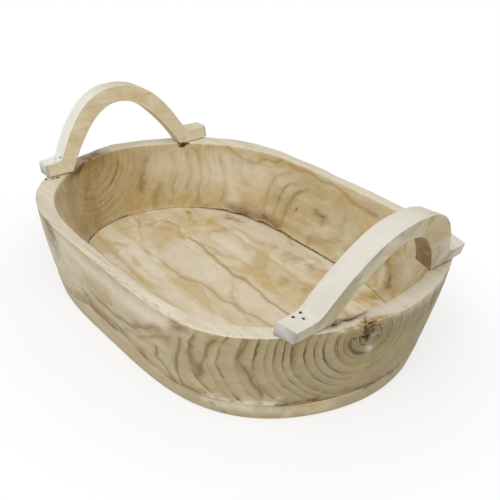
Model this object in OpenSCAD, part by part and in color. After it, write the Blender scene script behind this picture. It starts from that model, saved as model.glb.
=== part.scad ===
// Oval carved bowl: one hollowed wall on a base of three edge-glued boards,
// with an arched handle bradded across the rim at each end.
// X runs along the bowl, Y across it, Z up from the ground, origin under the middle.

/* [Rim] */
// Length over the rim
rim_length = 400; // [340:1:460]
// Width over the rim
rim_width = 257; // [230:1:300]
// Height of the rim above the ground
rim_height = 83; // [70:1:120]
// Squareness of the rim's right end, where 2 is an ellipse
rim_right_square = 5.6; // [3:0.1:7]
// Squareness of the rim's left end
rim_left_square = 4.1; // [3:0.1:7]
// Roundness of the rim's two ends, where 2 is round and less is more pointed
rim_bow = 1.42; // [1.3:0.02:2.2]
// Eased edge of the rim
rim_ease = 1.2; // [0.5:0.1:2.5]

/* [Mouth of the hollow] */
// Thickness of the rim at the two ends
rim_end = 16; // [12:0.5:22]
// Thickness of the rim along the two long sides
rim_side = 10.5; // [8:0.5:16]
// Squareness of the mouth's right end
mouth_right_square = 4.8; // [3:0.1:7]
// Squareness of the mouth's left end
mouth_left_square = 3.4; // [3:0.1:7]
// Roundness of the mouth's right end
mouth_right_bow = 1.8; // [1.3:0.05:2.2]
// Roundness of the mouth's left end
mouth_left_bow = 1.45; // [1.3:0.05:2.2]

/* [Foot of the outer wall] */
// How far each end leans out between the ground and the rim
end_flare = 20.5; // [10:0.5:28]
// How far each long side leans out between the ground and the rim
side_flare = 14.5; // [6:0.5:20]
// Squareness of the base's right end
base_right_square = 3.9; // [3:0.1:6]
// Squareness of the base's left end
base_left_square = 3.6; // [3:0.1:6]
// Roundness of the base's two ends
base_bow = 1.85; // [1.4:0.05:2.4]
// Carver's error: how far the base sits towards the back
base_drift = -2; // [-4:0.5:4]
// Swell of the outer wall at half height
belly = 1.5; // [0:0.25:4]

/* [Floor of the hollow] */
// How far the hollow narrows at each end on its way down to the floor
end_slope = 15; // [8:0.5:18]
// How far the hollow narrows at each long side on its way down to the floor
side_slope = 23; // [12:0.5:26]
// Squareness of the floor's outline
floor_square = 3.4; // [2.4:0.1:5]
// Roundness of the floor's two ends
floor_bow = 1.95; // [1.5:0.05:2.4]
// Carver's error: how far the floor sits towards the back
floor_drift = 2.5; // [-4:0.5:4]
// Curve of the hollow's side, where 1 is straight and less is more scooped
hollow_scoop = 0.8; // [0.6:0.05:1]

/* [Base] */
// Thickness of the base boards
board_thickness = 15; // [10:0.5:22]
// Width of the middle board
middle_board = 134; // [100:1:150]
// Eased edge of the underside
base_ease = 1.5; // [0.5:0.1:3]

/* [Both handles] */
// Height of the crown above the rim
handle_height = 67; // [58:1:80]
// Height of the feet
foot_height = 12; // [9:0.5:16]
// Width of the arch where its outer curve would meet the rim
arch_width = 150; // [144:1:156]
// Fullness of the arch's shoulders, where 2 is a parabola
arch_fullness = 2.45; // [2:0.05:4]
// Softness of the hollow corner between arch and foot
foot_blend = 5; // [2:0.5:12]

/* [Right handle] */
// Length over the two feet
right_length = 180; // [172:1:190]
// Thickness of the board it is sawn from
right_thickness = 18.5; // [16:0.5:20]
// Outward lean from upright
right_lean = 20; // [5:1:22]
// Distance of its seat from the end of the rim
right_inset = 30.5; // [28:0.5:33]
// Turn about the upright axis
right_turn = 6; // [0:0.5:7]
// How far it sits towards the back
right_drift = 7.5; // [-8:0.5:9]
// Width of the hand opening between the feet
right_grip_width = 107; // [96:1:116]
// Height of the hand opening above the rim
right_grip_height = 50; // [38:1:52]
// How far the arch sits from the middle of the feet towards the back
right_crown = -1.5; // [-5:0.5:5]
// Skew of the saw cut across the back foot
right_skew = 20; // [0:1:25]

/* [Left handle] */
// Length over the two feet
left_length = 178; // [170:1:188]
// Thickness of the board it is sawn from
left_thickness = 15; // [14:0.5:19]
// Outward lean from upright
left_lean = 14; // [5:1:20]
// Distance of its seat from the end of the rim
left_inset = 36; // [33:0.5:38]
// Turn about the upright axis
left_turn = 1.5; // [0:0.5:5]
// How far it sits towards the back
left_drift = 0; // [-5:0.5:5]
// Width of the hand opening between the feet
left_grip_width = 120; // [104:1:122]
// Height of the hand opening above the rim
left_grip_height = 52; // [38:1:54]
// How far the arch sits from the middle of the feet towards the front
left_crown = 3.5; // [-5:0.5:5]
// Skew of the saw cut across the front foot
left_skew = 0; // [0:1:25]

/* [Brads] */
// Diameter of a brad
brad_diameter = 1.6; // [1.2:0.1:2.2]
// Diameter of a brad's head
head_diameter = 2.6; // [2.4:0.1:3.4]
// Thickness of a brad's head
head_thickness = 0.9; // [0.6:0.1:1.4]
// How far the heads are set below the wood
head_sink = 0.7; // [0.3:0.1:1.2]
// Gap between a brad and its hole
brad_clearance = 0.08; // [0.03:0.01:0.2]
// Length of the brads in the handle feet
handle_brad_length = 24; // [20:1:30]
// Distance of the brads from the tip of a foot
brad_tip_inset = 14; // [12:0.5:20]
// Distance between the two inner brads of a foot
brad_pitch = 6.5; // [5:0.5:9]
// Distance between the inner and the outer brads of a foot
brad_stagger = 5.5; // [4:0.5:7]
// Least distance of a brad's middle from the handle's faces
brad_edge = 2.5; // [2:0.25:3]
// Length of the brads in the base
base_brad_length = 26; // [20:1:30]

/* [Hidden] */

// Facets round an oval, rings up a wall, points along an arch and facets round a brad
oval_steps = 96;
wall_rings = 5;
arch_steps = 56;
grip_steps = 40;
brad_facets = 20;
// Overrun of a cut past the face it opens, and a length that clears every piece
overrun = 1;
beyond = 2 * (rim_length + rim_width + rim_height + handle_height);

// The four ovals, each as half length, half width, squareness right and left, roundness right and left, drift
rim_oval = [rim_length / 2, rim_width / 2, rim_right_square, rim_left_square, rim_bow, rim_bow, 0];
mouth_oval = [rim_oval[0] - rim_end, rim_oval[1] - rim_side, mouth_right_square, mouth_left_square,
              mouth_right_bow, mouth_left_bow, 0];
base_oval = [rim_oval[0] - end_flare, rim_oval[1] - side_flare, base_right_square, base_left_square,
             base_bow, base_bow, base_drift];
floor_oval = [mouth_oval[0] - end_slope, mouth_oval[1] - side_slope, floor_square, floor_square,
              floor_bow, floor_bow, floor_drift];

// Angles on the oval at which the base is bradded to the wall, kept off the board joints
base_brad_angles = [25, 62, 90, 118, 155];
// Cone at the tip of a brad, in diameters
brad_point = 1.5;

wall_tone = "BurlyWood";
board_tone = "Wheat";
handle_tone = "AntiqueWhite";
brad_tone = "DimGray";

function mix(a, b, k) = a + (b - a) * k;

// The oval grown by the same amount all round
function grown(oval, by) = oval + [by, by, 0, 0, 0, 0, 0];

// Point at angle t of an oval |x/a|^p + |y/b|^q = 1, with its own p and q to the right and the left
function oval_point(oval, t) =
    let (c = cos(t), s = sin(t), p = c > 0 ? oval[2] : oval[3], q = c > 0 ? oval[4] : oval[5])
    [oval[0] * sign(c) * pow(abs(c), 2 / p), oval[6] + oval[1] * sign(s) * pow(abs(s), 2 / q)];

// Distance from the middle to the right (end 0) or left (end 1) edge of an oval at a given y
function oval_reach(oval, end, y) =
    oval[0] * pow(1 - pow(abs((y - oval[6]) / oval[1]), oval[4 + end]), 1 / oval[2 + end]);

// Outer skin at height z: a straight flare with a slight belly, the same for wall and base
function outer_oval(z) =
    let (k = min(z / (rim_height - rim_ease), 1)) grown(mix(base_oval, rim_oval, k), 4 * belly * k * (1 - k));

// Inner skin at height z: from the floor's oval at the boards up to the mouth's oval at the rim
function inner_oval(z) =
    let (k = min((z - board_thickness) / (rim_height - rim_ease - board_thickness), 1))
    mix(floor_oval, mouth_oval, pow(k, hollow_scoop));

function ring(z, oval) =
    [for (i = [0 : oval_steps - 1]) let (p = oval_point(oval, 360 * i / oval_steps)) [p[0], p[1], z]];
function outer_ring(z, inset) = ring(z, grown(outer_oval(z), -inset));
function inner_ring(z, outset) = ring(z, grown(inner_oval(z), outset));
function wall_height(i) = mix(board_thickness, rim_height - rim_ease, i / wall_rings);

// Two triangles between neighbouring rings i and j for each step round the oval
function band(i, j) = [
    for (k = [0 : oval_steps - 1])
        let (n = (k + 1) % oval_steps, a = i * oval_steps, b = j * oval_steps)
            each [[a + k, b + k, b + n], [a + k, b + n, a + n]]];

// Closed ring of material: up the outer skin, over the eased rim, down the hollow and back under
module wall_solid() {
    rings = concat([for (i = [0 : wall_rings]) outer_ring(wall_height(i), 0)],
                   [outer_ring(rim_height, rim_ease)],
                   [inner_ring(rim_height, rim_ease)],
                   [for (i = [wall_rings : -1 : 0]) inner_ring(wall_height(i), 0)]);
    count = len(rings);
    polyhedron(points = [for (r = rings) each r],
               faces = [for (i = [0 : count - 1]) each band(i, (i + 1) % count)], convexity = 8);
}

// The whole base as one tapered slab with an eased lower edge
module base_slab() {
    rings = [outer_ring(0, base_ease), outer_ring(base_ease, 0), outer_ring(board_thickness, 0)];
    last = len(rings) - 1;
    under = [for (k = [0 : oval_steps - 1]) k];
    over = [for (k = [oval_steps - 1 : -1 : 0]) last * oval_steps + k];
    polyhedron(points = [for (r = rings) each r],
               faces = concat([under], [for (i = [0 : last - 1]) each band(i, i + 1)], [over]));
}

// The strip of the base between two board edges
module base_strip(y_low, y_high) {
    intersection() {
        base_slab();
        translate([-beyond / 2, y_low, -overrun])
            cube([beyond, y_high - y_low, board_thickness + 2 * overrun]);
    }
}

// A brad along -Z with the top of its head at the origin
module brad(length) {
    point = brad_point * brad_diameter;
    rotate_extrude($fn = brad_facets)
        polygon([[0, 0], [head_diameter / 2, 0], [head_diameter / 2, -head_thickness],
                 [brad_diameter / 2, -head_thickness], [brad_diameter / 2, point - length], [0, -length]]);
}

// The hole that a brad leaves: a shank hole, and a wider one round the head that is open above it
module brad_hole(length) {
    gap = brad_clearance;
    translate([0, 0, -length - gap])
        cylinder(d = brad_diameter + 2 * gap, h = length + gap, $fn = brad_facets);
    translate([0, 0, -head_thickness - gap])
        cylinder(d = head_diameter + 2 * gap, h = head_thickness + gap + head_sink + foot_height,
                 $fn = brad_facets);
}

// Places its children at the base brads' heads, pointing down out of the underside
module at_base_brads() {
    for (side = [0, 180], angle = base_brad_angles) {
        p = (oval_point(outer_oval(board_thickness), side + angle)
             + oval_point(inner_oval(board_thickness), side + angle)) / 2;
        translate([p[0], p[1], head_sink]) rotate([180, 0, 0]) children();
    }
}

// The two handles, each as end, seat's distance from the middle, drift, turn, length, thickness, lean,
// grip width, grip height, crown's shift and skew of its saw cut
right_plan = [0, rim_length / 2 - right_inset, right_drift, right_turn, right_length, right_thickness,
              right_lean, right_grip_width, right_grip_height, right_crown, right_skew];
left_plan = [1, rim_length / 2 - left_inset, left_drift, left_turn, left_length, left_thickness, left_lean,
             left_grip_width, left_grip_height, left_crown, left_skew];
function end_of(plan) = plan[0];
function seat_of(plan) = plan[1];
function drift_of(plan) = plan[2];
function turn_of(plan) = plan[3];
function length_of(plan) = plan[4];
function thickness_of(plan) = plan[5];
function lean_of(plan) = plan[6];
function grip_width_of(plan) = plan[7];
function grip_height_of(plan) = plan[8];
function crown_of(plan) = plan[9];
function skew_of(plan) = plan[10];

// Level width of a leaning handle, and how much longer the skewed foot is on its inner side
function level_width(plan) = thickness_of(plan) / cos(lean_of(plan));
function skew_reach(plan) = level_width(plan) * tan(skew_of(plan));

// Height of a handle's upper outline at distance s from its middle: arch and foot, softly joined
function arch_height(s) = handle_height * (1 - pow(abs(2 * s / arch_width), arch_fullness));
function crest(plan, s) =
    let (a = arch_height(s - crown_of(plan)))
    (a + foot_height + sqrt(pow(a - foot_height, 2) + pow(foot_blend, 2))) / 2;
// Height of the hand opening at distance s from the middle of the arch
function soffit(plan, s) = grip_height_of(plan) * (1 - pow(2 * s / grip_width_of(plan), 2));

function span(from, to, steps) = [for (i = [0 : steps]) mix(from, to, i / steps)];

// Handle outline seen along the bowl: crest from foot to foot, then back under the arch
function handle_outline(plan) =
    let (start = -length_of(plan) / 2, finish = length_of(plan) / 2 + skew_reach(plan),
         toe = grip_width_of(plan) / 2, crown = crown_of(plan))
    concat([[start, 0]],
           [for (s = span(start, finish, arch_steps)) [s, crest(plan, s)]],
           [[finish, 0]],
           [for (s = span(toe, -toe, grip_steps)) [s + crown, soffit(plan, s)]]);

// A handle at the rim's level, leaning out along +X: its outline, sawn level, between leaning faces,
// with one foot cut off on the skew
module handle_blank(plan) {
    difference() {
        intersection() {
            translate([-beyond / 2, 0, 0]) rotate([90, 0, 90])
                linear_extrude(beyond) polygon(handle_outline(plan));
            rotate([0, lean_of(plan), 0])
                cube([thickness_of(plan), beyond, beyond], center = true);
        }
        translate([level_width(plan) / 2, length_of(plan) / 2, -overrun]) rotate([0, 0, -skew_of(plan)])
            translate([-beyond / 2, 0, 0]) cube(beyond);
    }
}

// Moves a handle from the middle of the rim's plane to its seat at the right or the left end
module at_seat(plan) {
    translate([end_of(plan) == 0 ? seat_of(plan) : -seat_of(plan), drift_of(plan), rim_height])
        rotate([0, 0, 180 * end_of(plan) + turn_of(plan)]) children();
}

// Where the rim's middle passes a foot, measured across the handle from its own middle,
// at distance s along the handle
function rim_across(plan, s) =
    let (end = end_of(plan), facing = end == 0 ? 1 : -1, y = drift_of(plan) + facing * s * cos(turn_of(plan)))
    (oval_reach(rim_oval, end, y) + oval_reach(mouth_oval, end, y)) / 2
        - (seat_of(plan) - s * sin(turn_of(plan)));

// Brad places in one foot, across the handle and along it: two towards the hollow and one outside,
// about a line that goes from the middle of the foot towards the middle of the rim below it,
// as far as the edge distance allows
rim_share = 0.85;
function foot_brads(plan, foot) =
    let (along = length_of(plan) / 2 - brad_tip_inset,
         sway = thickness_of(plan) / 2 - brad_edge - brad_stagger / 2,
         line = max(-sway, min(sway, rim_across(plan, foot * along) * rim_share)))
    [[line - brad_stagger / 2, foot * (along - brad_pitch / 2)],
     [line - brad_stagger / 2, foot * (along + brad_pitch / 2)],
     [line + brad_stagger / 2, foot * along]];

// Places its children at a handle's brad heads, driven along the lean from the top of the feet
module at_foot_brads(plan) {
    lean = lean_of(plan);
    for (foot = [-1, 1], brad_place = foot_brads(plan, foot)) {
        top = (crest(plan, brad_place[1]) + brad_place[0] * sin(lean)) / cos(lean);
        rotate([0, lean, 0])
            translate([brad_place[0], brad_place[1], top - head_sink]) children();
    }
}

module handle(plan) {
    color(handle_tone) at_seat(plan) difference() {
        handle_blank(plan);
        at_foot_brads(plan) brad_hole(handle_brad_length);
    }
}

module handle_brads(plan) {
    color(brad_tone) at_seat(plan) at_foot_brads(plan) brad(handle_brad_length);
}

module bowl_wall() {
    color(wall_tone) difference() {
        wall_solid();
        for (plan = [right_plan, left_plan])
            at_seat(plan) at_foot_brads(plan) brad_hole(handle_brad_length);
        at_base_brads() brad_hole(base_brad_length);
    }
}

module base_board(y_low, y_high) {
    color(board_tone) difference() {
        base_strip(y_low, y_high);
        at_base_brads() brad_hole(base_brad_length);
    }
}

module front_base_board() { base_board(-beyond, -middle_board / 2); }
module middle_base_board() { base_board(-middle_board / 2, middle_board / 2); }
module back_base_board() { base_board(middle_board / 2, beyond); }

module right_handle() { handle(right_plan); }
module left_handle() { handle(left_plan); }
module right_handle_brads() { handle_brads(right_plan); }
module left_handle_brads() { handle_brads(left_plan); }
module base_brads() { color(brad_tone) at_base_brads() brad(base_brad_length); }

bowl_wall();
front_base_board();
middle_base_board();
back_base_board();
right_handle();
left_handle();
right_handle_brads();
left_handle_brads();
base_brads();
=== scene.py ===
"""Oval bowl: a wall hollowed from one block of pale wood, on three base boards, with two bradded handles.

X runs along the bowl, Y across it and Z up from the table. Sizes are in metres. The places and widths of
marks are in millimetres.
"""
import math

import bmesh
import bpy
import numpy as np
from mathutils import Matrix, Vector


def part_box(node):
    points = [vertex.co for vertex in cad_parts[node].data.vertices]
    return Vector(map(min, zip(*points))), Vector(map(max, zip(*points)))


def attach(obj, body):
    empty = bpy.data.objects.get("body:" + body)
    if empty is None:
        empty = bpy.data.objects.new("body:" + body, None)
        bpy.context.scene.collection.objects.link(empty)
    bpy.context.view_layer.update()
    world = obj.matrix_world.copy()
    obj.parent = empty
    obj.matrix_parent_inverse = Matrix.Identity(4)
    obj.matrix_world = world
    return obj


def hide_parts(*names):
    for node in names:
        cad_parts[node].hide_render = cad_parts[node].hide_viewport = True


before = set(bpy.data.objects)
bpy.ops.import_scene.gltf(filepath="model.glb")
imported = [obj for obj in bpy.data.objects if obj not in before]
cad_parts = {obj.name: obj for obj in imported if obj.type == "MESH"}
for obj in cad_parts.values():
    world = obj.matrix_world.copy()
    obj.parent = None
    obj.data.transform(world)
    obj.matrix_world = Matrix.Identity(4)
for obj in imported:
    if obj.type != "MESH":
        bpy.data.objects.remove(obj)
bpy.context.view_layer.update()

MM = 0.001
QUARTER_TURN = math.pi / 2

# Sizes that the frame gives
wall_low, wall_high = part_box("bowl_wall")
RIM_HEIGHT = wall_high.z
BOARD_TOP = wall_low.z
JOINT_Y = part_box("middle_base_board")[1].y

# The wall: rim, mouth, foot and floor of the hollow
RIM_EASE = 1.2 * MM
RIM_END = 16 * MM
RIM_SIDE = 10.5 * MM
END_FLARE = 20.5 * MM
SIDE_FLARE = 14.5 * MM
BELLY = 1.5 * MM
END_SLOPE = 15 * MM
SIDE_SLOPE = 23 * MM
HOLLOW_SCOOP = 0.8
BASE_EASE = 1.5 * MM

# The brads
HEAD_SINK = 0.7 * MM
BRAD_TIP_INSET = 14 * MM
BRAD_PITCH = 6.5 * MM
BRAD_STAGGER = 5.5 * MM
BRAD_EDGE = 2.5 * MM
RIM_SHARE = 0.85
BASE_BRAD_TURNS = np.radians([25, 62, 90, 118, 155])

# The arch that both handles share
HANDLE_HEIGHT = 67 * MM
FOOT_HEIGHT = 12 * MM
ARCH_WIDTH = 150 * MM
ARCH_FULLNESS = 2.45
FOOT_BLEND = 5 * MM

# Where an oval's row keeps its half length, half width, squareness, bow and drift, with the right end first
LENGTH, WIDTH, SQUARE, BOW, DRIFT = 0, 1, 2, 4, 6


def oval(half_length, half_width, squares, bows, drift):
    """An oval as one row: half length, half width, squareness right and left, bow right and left, drift."""
    return np.array([half_length, half_width, *squares, *bows, drift])


RIM = oval(wall_high.x, wall_high.y, (5.6, 4.1), (1.42, 1.42), 0)
MOUTH = oval(RIM[LENGTH] - RIM_END, RIM[WIDTH] - RIM_SIDE, (4.8, 3.4), (1.8, 1.45), 0)
BASE = oval(RIM[LENGTH] - END_FLARE, RIM[WIDTH] - SIDE_FLARE, (3.9, 3.6), (1.85, 1.85), -2 * MM)
FLOOR = oval(MOUTH[LENGTH] - END_SLOPE, MOUTH[WIDTH] - SIDE_SLOPE, (3.4, 3.4), (1.95, 1.95), 2.5 * MM)


def mix(a, b, share):
    """The value that lies the given share of the way from a to b."""
    return a + (b - a) * share


def smooth(low, high, value):
    """0 at low and before it, 1 at high and past it, and an S curve between them."""
    share = np.clip((value - low) / (high - low), 0, 1)
    return share * share * (3 - 2 * share)


def grown(ovals, by):
    """Ovals whose half length and half width are larger by the given amounts."""
    bigger = ovals.copy()
    bigger[..., :2] += np.asarray(by)[..., None]
    return bigger


def outer_ovals(z):
    """The outer skin's oval at each height: base to rim in a straight flare with a slight belly."""
    rise = np.clip(np.asarray(z) / (RIM_HEIGHT - RIM_EASE), 0, 1)
    return grown(mix(BASE, RIM, rise[..., None]), 4 * BELLY * rise * (1 - rise))


def inner_ovals(z):
    """The hollow's oval at each height: floor to mouth, scooped by a power of the height."""
    rise = np.clip((np.asarray(z) - BOARD_TOP) / (RIM_HEIGHT - RIM_EASE - BOARD_TOP), 0, 1)
    return mix(FLOOR, MOUTH, (rise ** HOLLOW_SCOOP)[..., None])


def oval_point(row, turn):
    """The point of one oval at an angle, by x = a cos^(2/p) and y = drift + b sin^(2/q)."""
    c, s = math.cos(turn), math.sin(turn)
    end = 0 if c > 0 else 1
    x = row[LENGTH] * math.copysign(abs(c) ** (2 / row[SQUARE + end]), c)
    y = row[DRIFT] + row[WIDTH] * math.copysign(abs(s) ** (2 / row[BOW + end]), s)
    return np.array([x, y])


def oval_reach(ovals, end, y):
    """Distance from the middle to an oval's right (0) or left (1) edge at each y: a(1 - |y/b|^q)^(1/p)."""
    across = np.abs((y - ovals[..., DRIFT]) / ovals[..., WIDTH])
    left = np.clip(1 - across ** ovals[..., BOW + end], 0, 1)
    return ovals[..., LENGTH] * left ** (1 / ovals[..., SQUARE + end])


def reach_towards(ovals, way, y):
    """The same distance to the right edge where the way is above 0, and to the left edge elsewhere."""
    return np.where(way > 0, oval_reach(ovals, 0, y), oval_reach(ovals, 1, y))


# Unevenness left by hand tools, and marks along paths

WAVES = 14
WAVE_SIZES = (0.6, 1.7)
WAVE_HEIGHT = 2.2
LINE_FADE = 2.3
LEAST_FADE = 4.5 * MM
LINE_DEPTH = 7 * MM
FADING_OUT = (1, 0.6, 0.3)
FLOOR_LEVEL = round(BOARD_TOP / MM)


def uneven(points, size, depth, seed):
    """Between 0 and depth: a sum of sine waves with seeded directions, about one size long."""
    rng = np.random.default_rng(seed)
    way = rng.normal(size=(WAVES, 3))
    way /= np.linalg.norm(way, axis=1, keepdims=True)
    pace = 2 * math.pi / (size * rng.uniform(*WAVE_SIZES, WAVES))
    start = rng.uniform(0, 2 * math.pi, WAVES)
    total = sum(np.sin(points @ w * p + s) for w, p, s in zip(way, pace, start))
    return depth * np.clip(0.5 + total / (WAVE_HEIGHT * math.sqrt(WAVES)), 0, 1)


def strayed(points, *strays):
    """Points shifted by up to a reach each way, so that marks placed with them get ragged borders.

    Each stray is the size of its waves, its reach and its seed."""
    for size, reach, seed in strays:
        shift = [uneven(points, size, 2 * reach, seed + way) - reach for way in range(3)]
        points = points + np.stack(shift, -1)
    return points


def distance(points, path, normal=None):
    """Distance of each point from a path of straight runs, or from one place, given in millimetres.

    Where the surface's normals are given, a small distance straight off the surface doesn't count."""
    path = np.array(path, float) * MM
    nearest = np.linalg.norm(points - path[0], axis=-1)
    for a, b in zip(path[:-1], path[1:]):
        run = b - a
        share = np.clip((points - a) @ run / (run @ run), 0, 1)
        away = points - (a + share[..., None] * run)
        if normal is not None:
            off = np.sum(away * normal, -1, keepdims=True)
            away = np.where(np.abs(off) < LINE_DEPTH, away - off * normal, away)
        nearest = np.minimum(nearest, np.linalg.norm(away, axis=-1))
    return nearest


def along(points, path, width):
    """1 on a path, fading as a bell curve with distance."""
    return np.exp(-(distance(points, path) / (width * MM)) ** 2)


def traced(points, lines, normal):
    """How near the nearest of several lines is, from 1 down to 0 in a straight ramp, and its strength."""
    close, strength = np.zeros(points.shape[:-1]), np.zeros(points.shape[:-1])
    for path, width, deep in lines:
        fade = max(LINE_FADE * width * MM, LEAST_FADE)
        here = np.clip(1 - distance(points, path, normal) / fade, 0, 1)
        strength = np.where(here > close, deep, strength)
        close = np.maximum(close, here)
    return close, strength


def strongest(points, marks):
    """The largest of several marks, each a path, its width in millimetres and its strength."""
    found = np.zeros(points.shape[:-1])
    for path, width, strength in marks:
        found = np.maximum(found, strength * along(points, path, width))
    return found


def fading(path, width, strength):
    """A line that fades out over its last two runs."""
    runs = (path[:-2], path[-3:-1], path[-2:])
    return [(run, width, left * strength) for run, left in zip(runs, FADING_OUT)]


def on_floor(width, strength, *places):
    """A mark on the floor, from its places along and across the bowl."""
    return [(x, y, FLOOR_LEVEL) for x, y in places], width, strength


# Meshes from grids

MERGED = 1e-7
SLIVER = 1e-8
NO_LENGTH = 1e-12
ROUND_ROWS = 5


def grid_normals(points):
    """Unit normals of a grid that closes both ways, from the cross product of its two directions."""
    down = np.roll(points, -1, 0) - np.roll(points, 1, 0)
    beside = np.roll(points, -1, 1) - np.roll(points, 1, 1)
    normal = np.cross(beside, down)
    return normal / np.maximum(np.linalg.norm(normal, axis=-1, keepdims=True), NO_LENGTH)


def grid_faces(rows, columns, rows_close):
    """Quads of a grid whose columns always close round, and whose rows may."""
    row = np.arange(rows if rows_close else rows - 1)[:, None]
    column = np.arange(columns)[None, :]
    below, beside = (row + 1) % rows, (column + 1) % columns
    corners = [row * columns + column, row * columns + beside,
               below * columns + beside, below * columns + column]
    return np.stack(np.broadcast_arrays(*corners), -1).reshape(-1, 4)


def added(name, data):
    """A new object in the scene."""
    made = bpy.data.objects.new(name, data)
    bpy.context.scene.collection.objects.link(made)
    return made


def piece(name, points, node, slot, material, sharp, rows_close=False, **marks):
    """A closed mesh for a node, from a grid of points, capped at both ends unless its rows close.

    Each mark becomes an attribute of the points."""
    rows, columns = points.shape[:2]
    faces = grid_faces(rows, columns, rows_close).tolist()
    if not rows_close:
        faces += [list(range(columns)), list(range((rows - 1) * columns, rows * columns))]
    mesh = bpy.data.meshes.new(name)
    mesh.from_pydata(points.reshape(-1, 3).tolist(), [], faces)
    for mark, values in marks.items():
        layer = mesh.attributes.new(mark, "FLOAT", "POINT")
        layer.data.foreach_set("value", np.ascontiguousarray(values, np.float32).ravel())
    shell = bmesh.new()
    shell.from_mesh(mesh)
    bmesh.ops.remove_doubles(shell, verts=shell.verts, dist=MERGED)
    bmesh.ops.dissolve_degenerate(shell, edges=shell.edges, dist=SLIVER)
    bmesh.ops.recalc_face_normals(shell, faces=shell.faces)
    if shell.calc_volume(signed=True) < 0:
        bmesh.ops.reverse_faces(shell, faces=shell.faces)
    shell.to_mesh(mesh)
    shell.free()
    mesh.shade_smooth()
    mesh.set_sharp_from_angle(angle=math.radians(sharp))
    mesh.materials.append(material)
    made = added(name, mesh)
    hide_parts(node)
    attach(made, "root")


def clustered(low, high, spacing, centres, reach, fine):
    """Values from low to high at a wide spacing, with a fine spacing within reach of each centre.

    Values that lie closer than a quarter of the fine spacing become one."""
    wide = np.linspace(low, high, max(2, round((high - low) / spacing) + 1))
    for centre in centres:
        wide = wide[(np.abs(wide - centre) > reach) | (wide == low) | (wide == high)]
    close = [c + np.linspace(-reach, reach, 2 * round(reach / fine) + 1) for c in centres]
    every = np.unique(np.concatenate([wide, *close]).clip(low, high))
    keep = np.concatenate([[True], np.diff(every) > fine / 4])
    return every[keep]


# The wall's grid

RIGHT_COLUMNS = 196
LEFT_COLUMNS = 104
TIP_CLOSENESS = 0.4
ARC_STEPS = 1600
SIDE_FINENESS = 4
UP_ROWS = 72
FOOT_CLOSENESS = 0.85
BEND_ROWS = 7
RIM_ROWS = 12
DOWN_ROWS = 50
UNDER_ROWS = 8
RIM_ROUND = 1.7 * MM
LIP_DEPTH = 5 * MM

# The skins of the wall's section, in the order of its rows
OUTSIDE, OUTER_BEND, RIM_TOP, INNER_BEND, HOLLOW, LIP, UNDERSIDE = range(7)


def oval_quarter(ovals, end, turn):
    """Each oval's points at angles in its first quarter, by x = a cos^(2/p) and y = b sin^(2/q)."""
    x = ovals[:, LENGTH, None] * np.cos(turn).clip(0) ** (2 / ovals[:, SQUARE + end, None])
    y = ovals[:, WIDTH, None] * np.sin(turn).clip(0) ** (2 / ovals[:, BOW + end, None])
    return x, y


def quarter(ovals, end, count):
    """From the tip of one end to the middle of a side, even in arc length but closer at the tip."""
    share = np.linspace(0, 1, ARC_STEPS)
    turn = (1 - (1 - share) ** SIDE_FINENESS) * QUARTER_TURN
    x, y = oval_quarter(ovals, end, turn)
    steps = np.hypot(np.diff(x, axis=1), np.diff(y, axis=1))
    arc = np.concatenate([np.zeros((len(x), 1)), np.cumsum(steps, 1)], 1)
    even = np.linspace(0, 1, count + 1)
    even = even * mix(TIP_CLOSENESS, 1, even)
    return oval_quarter(ovals, end, np.array([np.interp(even * a[-1], a, turn) for a in arc]))


def rings(ovals, z):
    """A ring of points for each oval and height: four quarters, from the right tip round by the back."""
    right_x, right_y = quarter(ovals, 0, RIGHT_COLUMNS)
    left_x, left_y = quarter(ovals, 1, LEFT_COLUMNS)
    x = np.hstack([right_x[:, :-1], -left_x[:, :0:-1], -left_x[:, :-1], right_x[:, :0:-1]])
    y = np.hstack([right_y[:, :-1], left_y[:, :0:-1], -left_y[:, :-1], -right_y[:, :0:-1]])
    return np.stack([x, y + ovals[:, DRIFT, None], np.broadcast_to(z[:, None], x.shape)], -1)


def wall_section():
    """The wall's section as ovals, heights and skins: up outside, over the rim, down inside, back under."""
    bend = np.linspace(0, QUARTER_TURN, BEND_ROWS)[1:-1]
    skin_top = RIM_HEIGHT - RIM_ROUND
    round_z = skin_top + RIM_ROUND * np.sin(bend)
    round_in = RIM_ROUND * (1 - np.cos(bend))
    up = mix(BOARD_TOP, skin_top, np.linspace(0, 1, UP_ROWS) ** FOOT_CLOSENESS)
    over = np.linspace(0, 1, RIM_ROWS)[:, None]
    down = mix(skin_top, BOARD_TOP, np.linspace(0, 1, DOWN_ROWS))
    back = np.linspace(0, 1, UNDER_ROWS)[1:-1, None]
    outer_edge = grown(outer_ovals(RIM_HEIGHT), -RIM_ROUND)
    inner_edge = grown(inner_ovals(RIM_HEIGHT), RIM_ROUND)
    lip = grown(inner_ovals(BOARD_TOP), LIP_DEPTH)
    ovals = [outer_ovals(up),
             grown(outer_ovals(round_z), -round_in),
             mix(outer_edge, inner_edge, over),
             grown(inner_ovals(round_z[::-1]), round_in[::-1]),
             inner_ovals(down),
             lip,
             mix(lip, outer_ovals(BOARD_TOP), back)]
    heights = [up, round_z, np.full(len(over), RIM_HEIGHT), round_z[::-1], down, [BOARD_TOP],
               np.full(len(back), BOARD_TOP)]
    skins = np.repeat(np.arange(len(heights)), [len(h) for h in heights])
    return np.vstack(ovals), np.concatenate(heights), skins


# Marks on the wall

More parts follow.
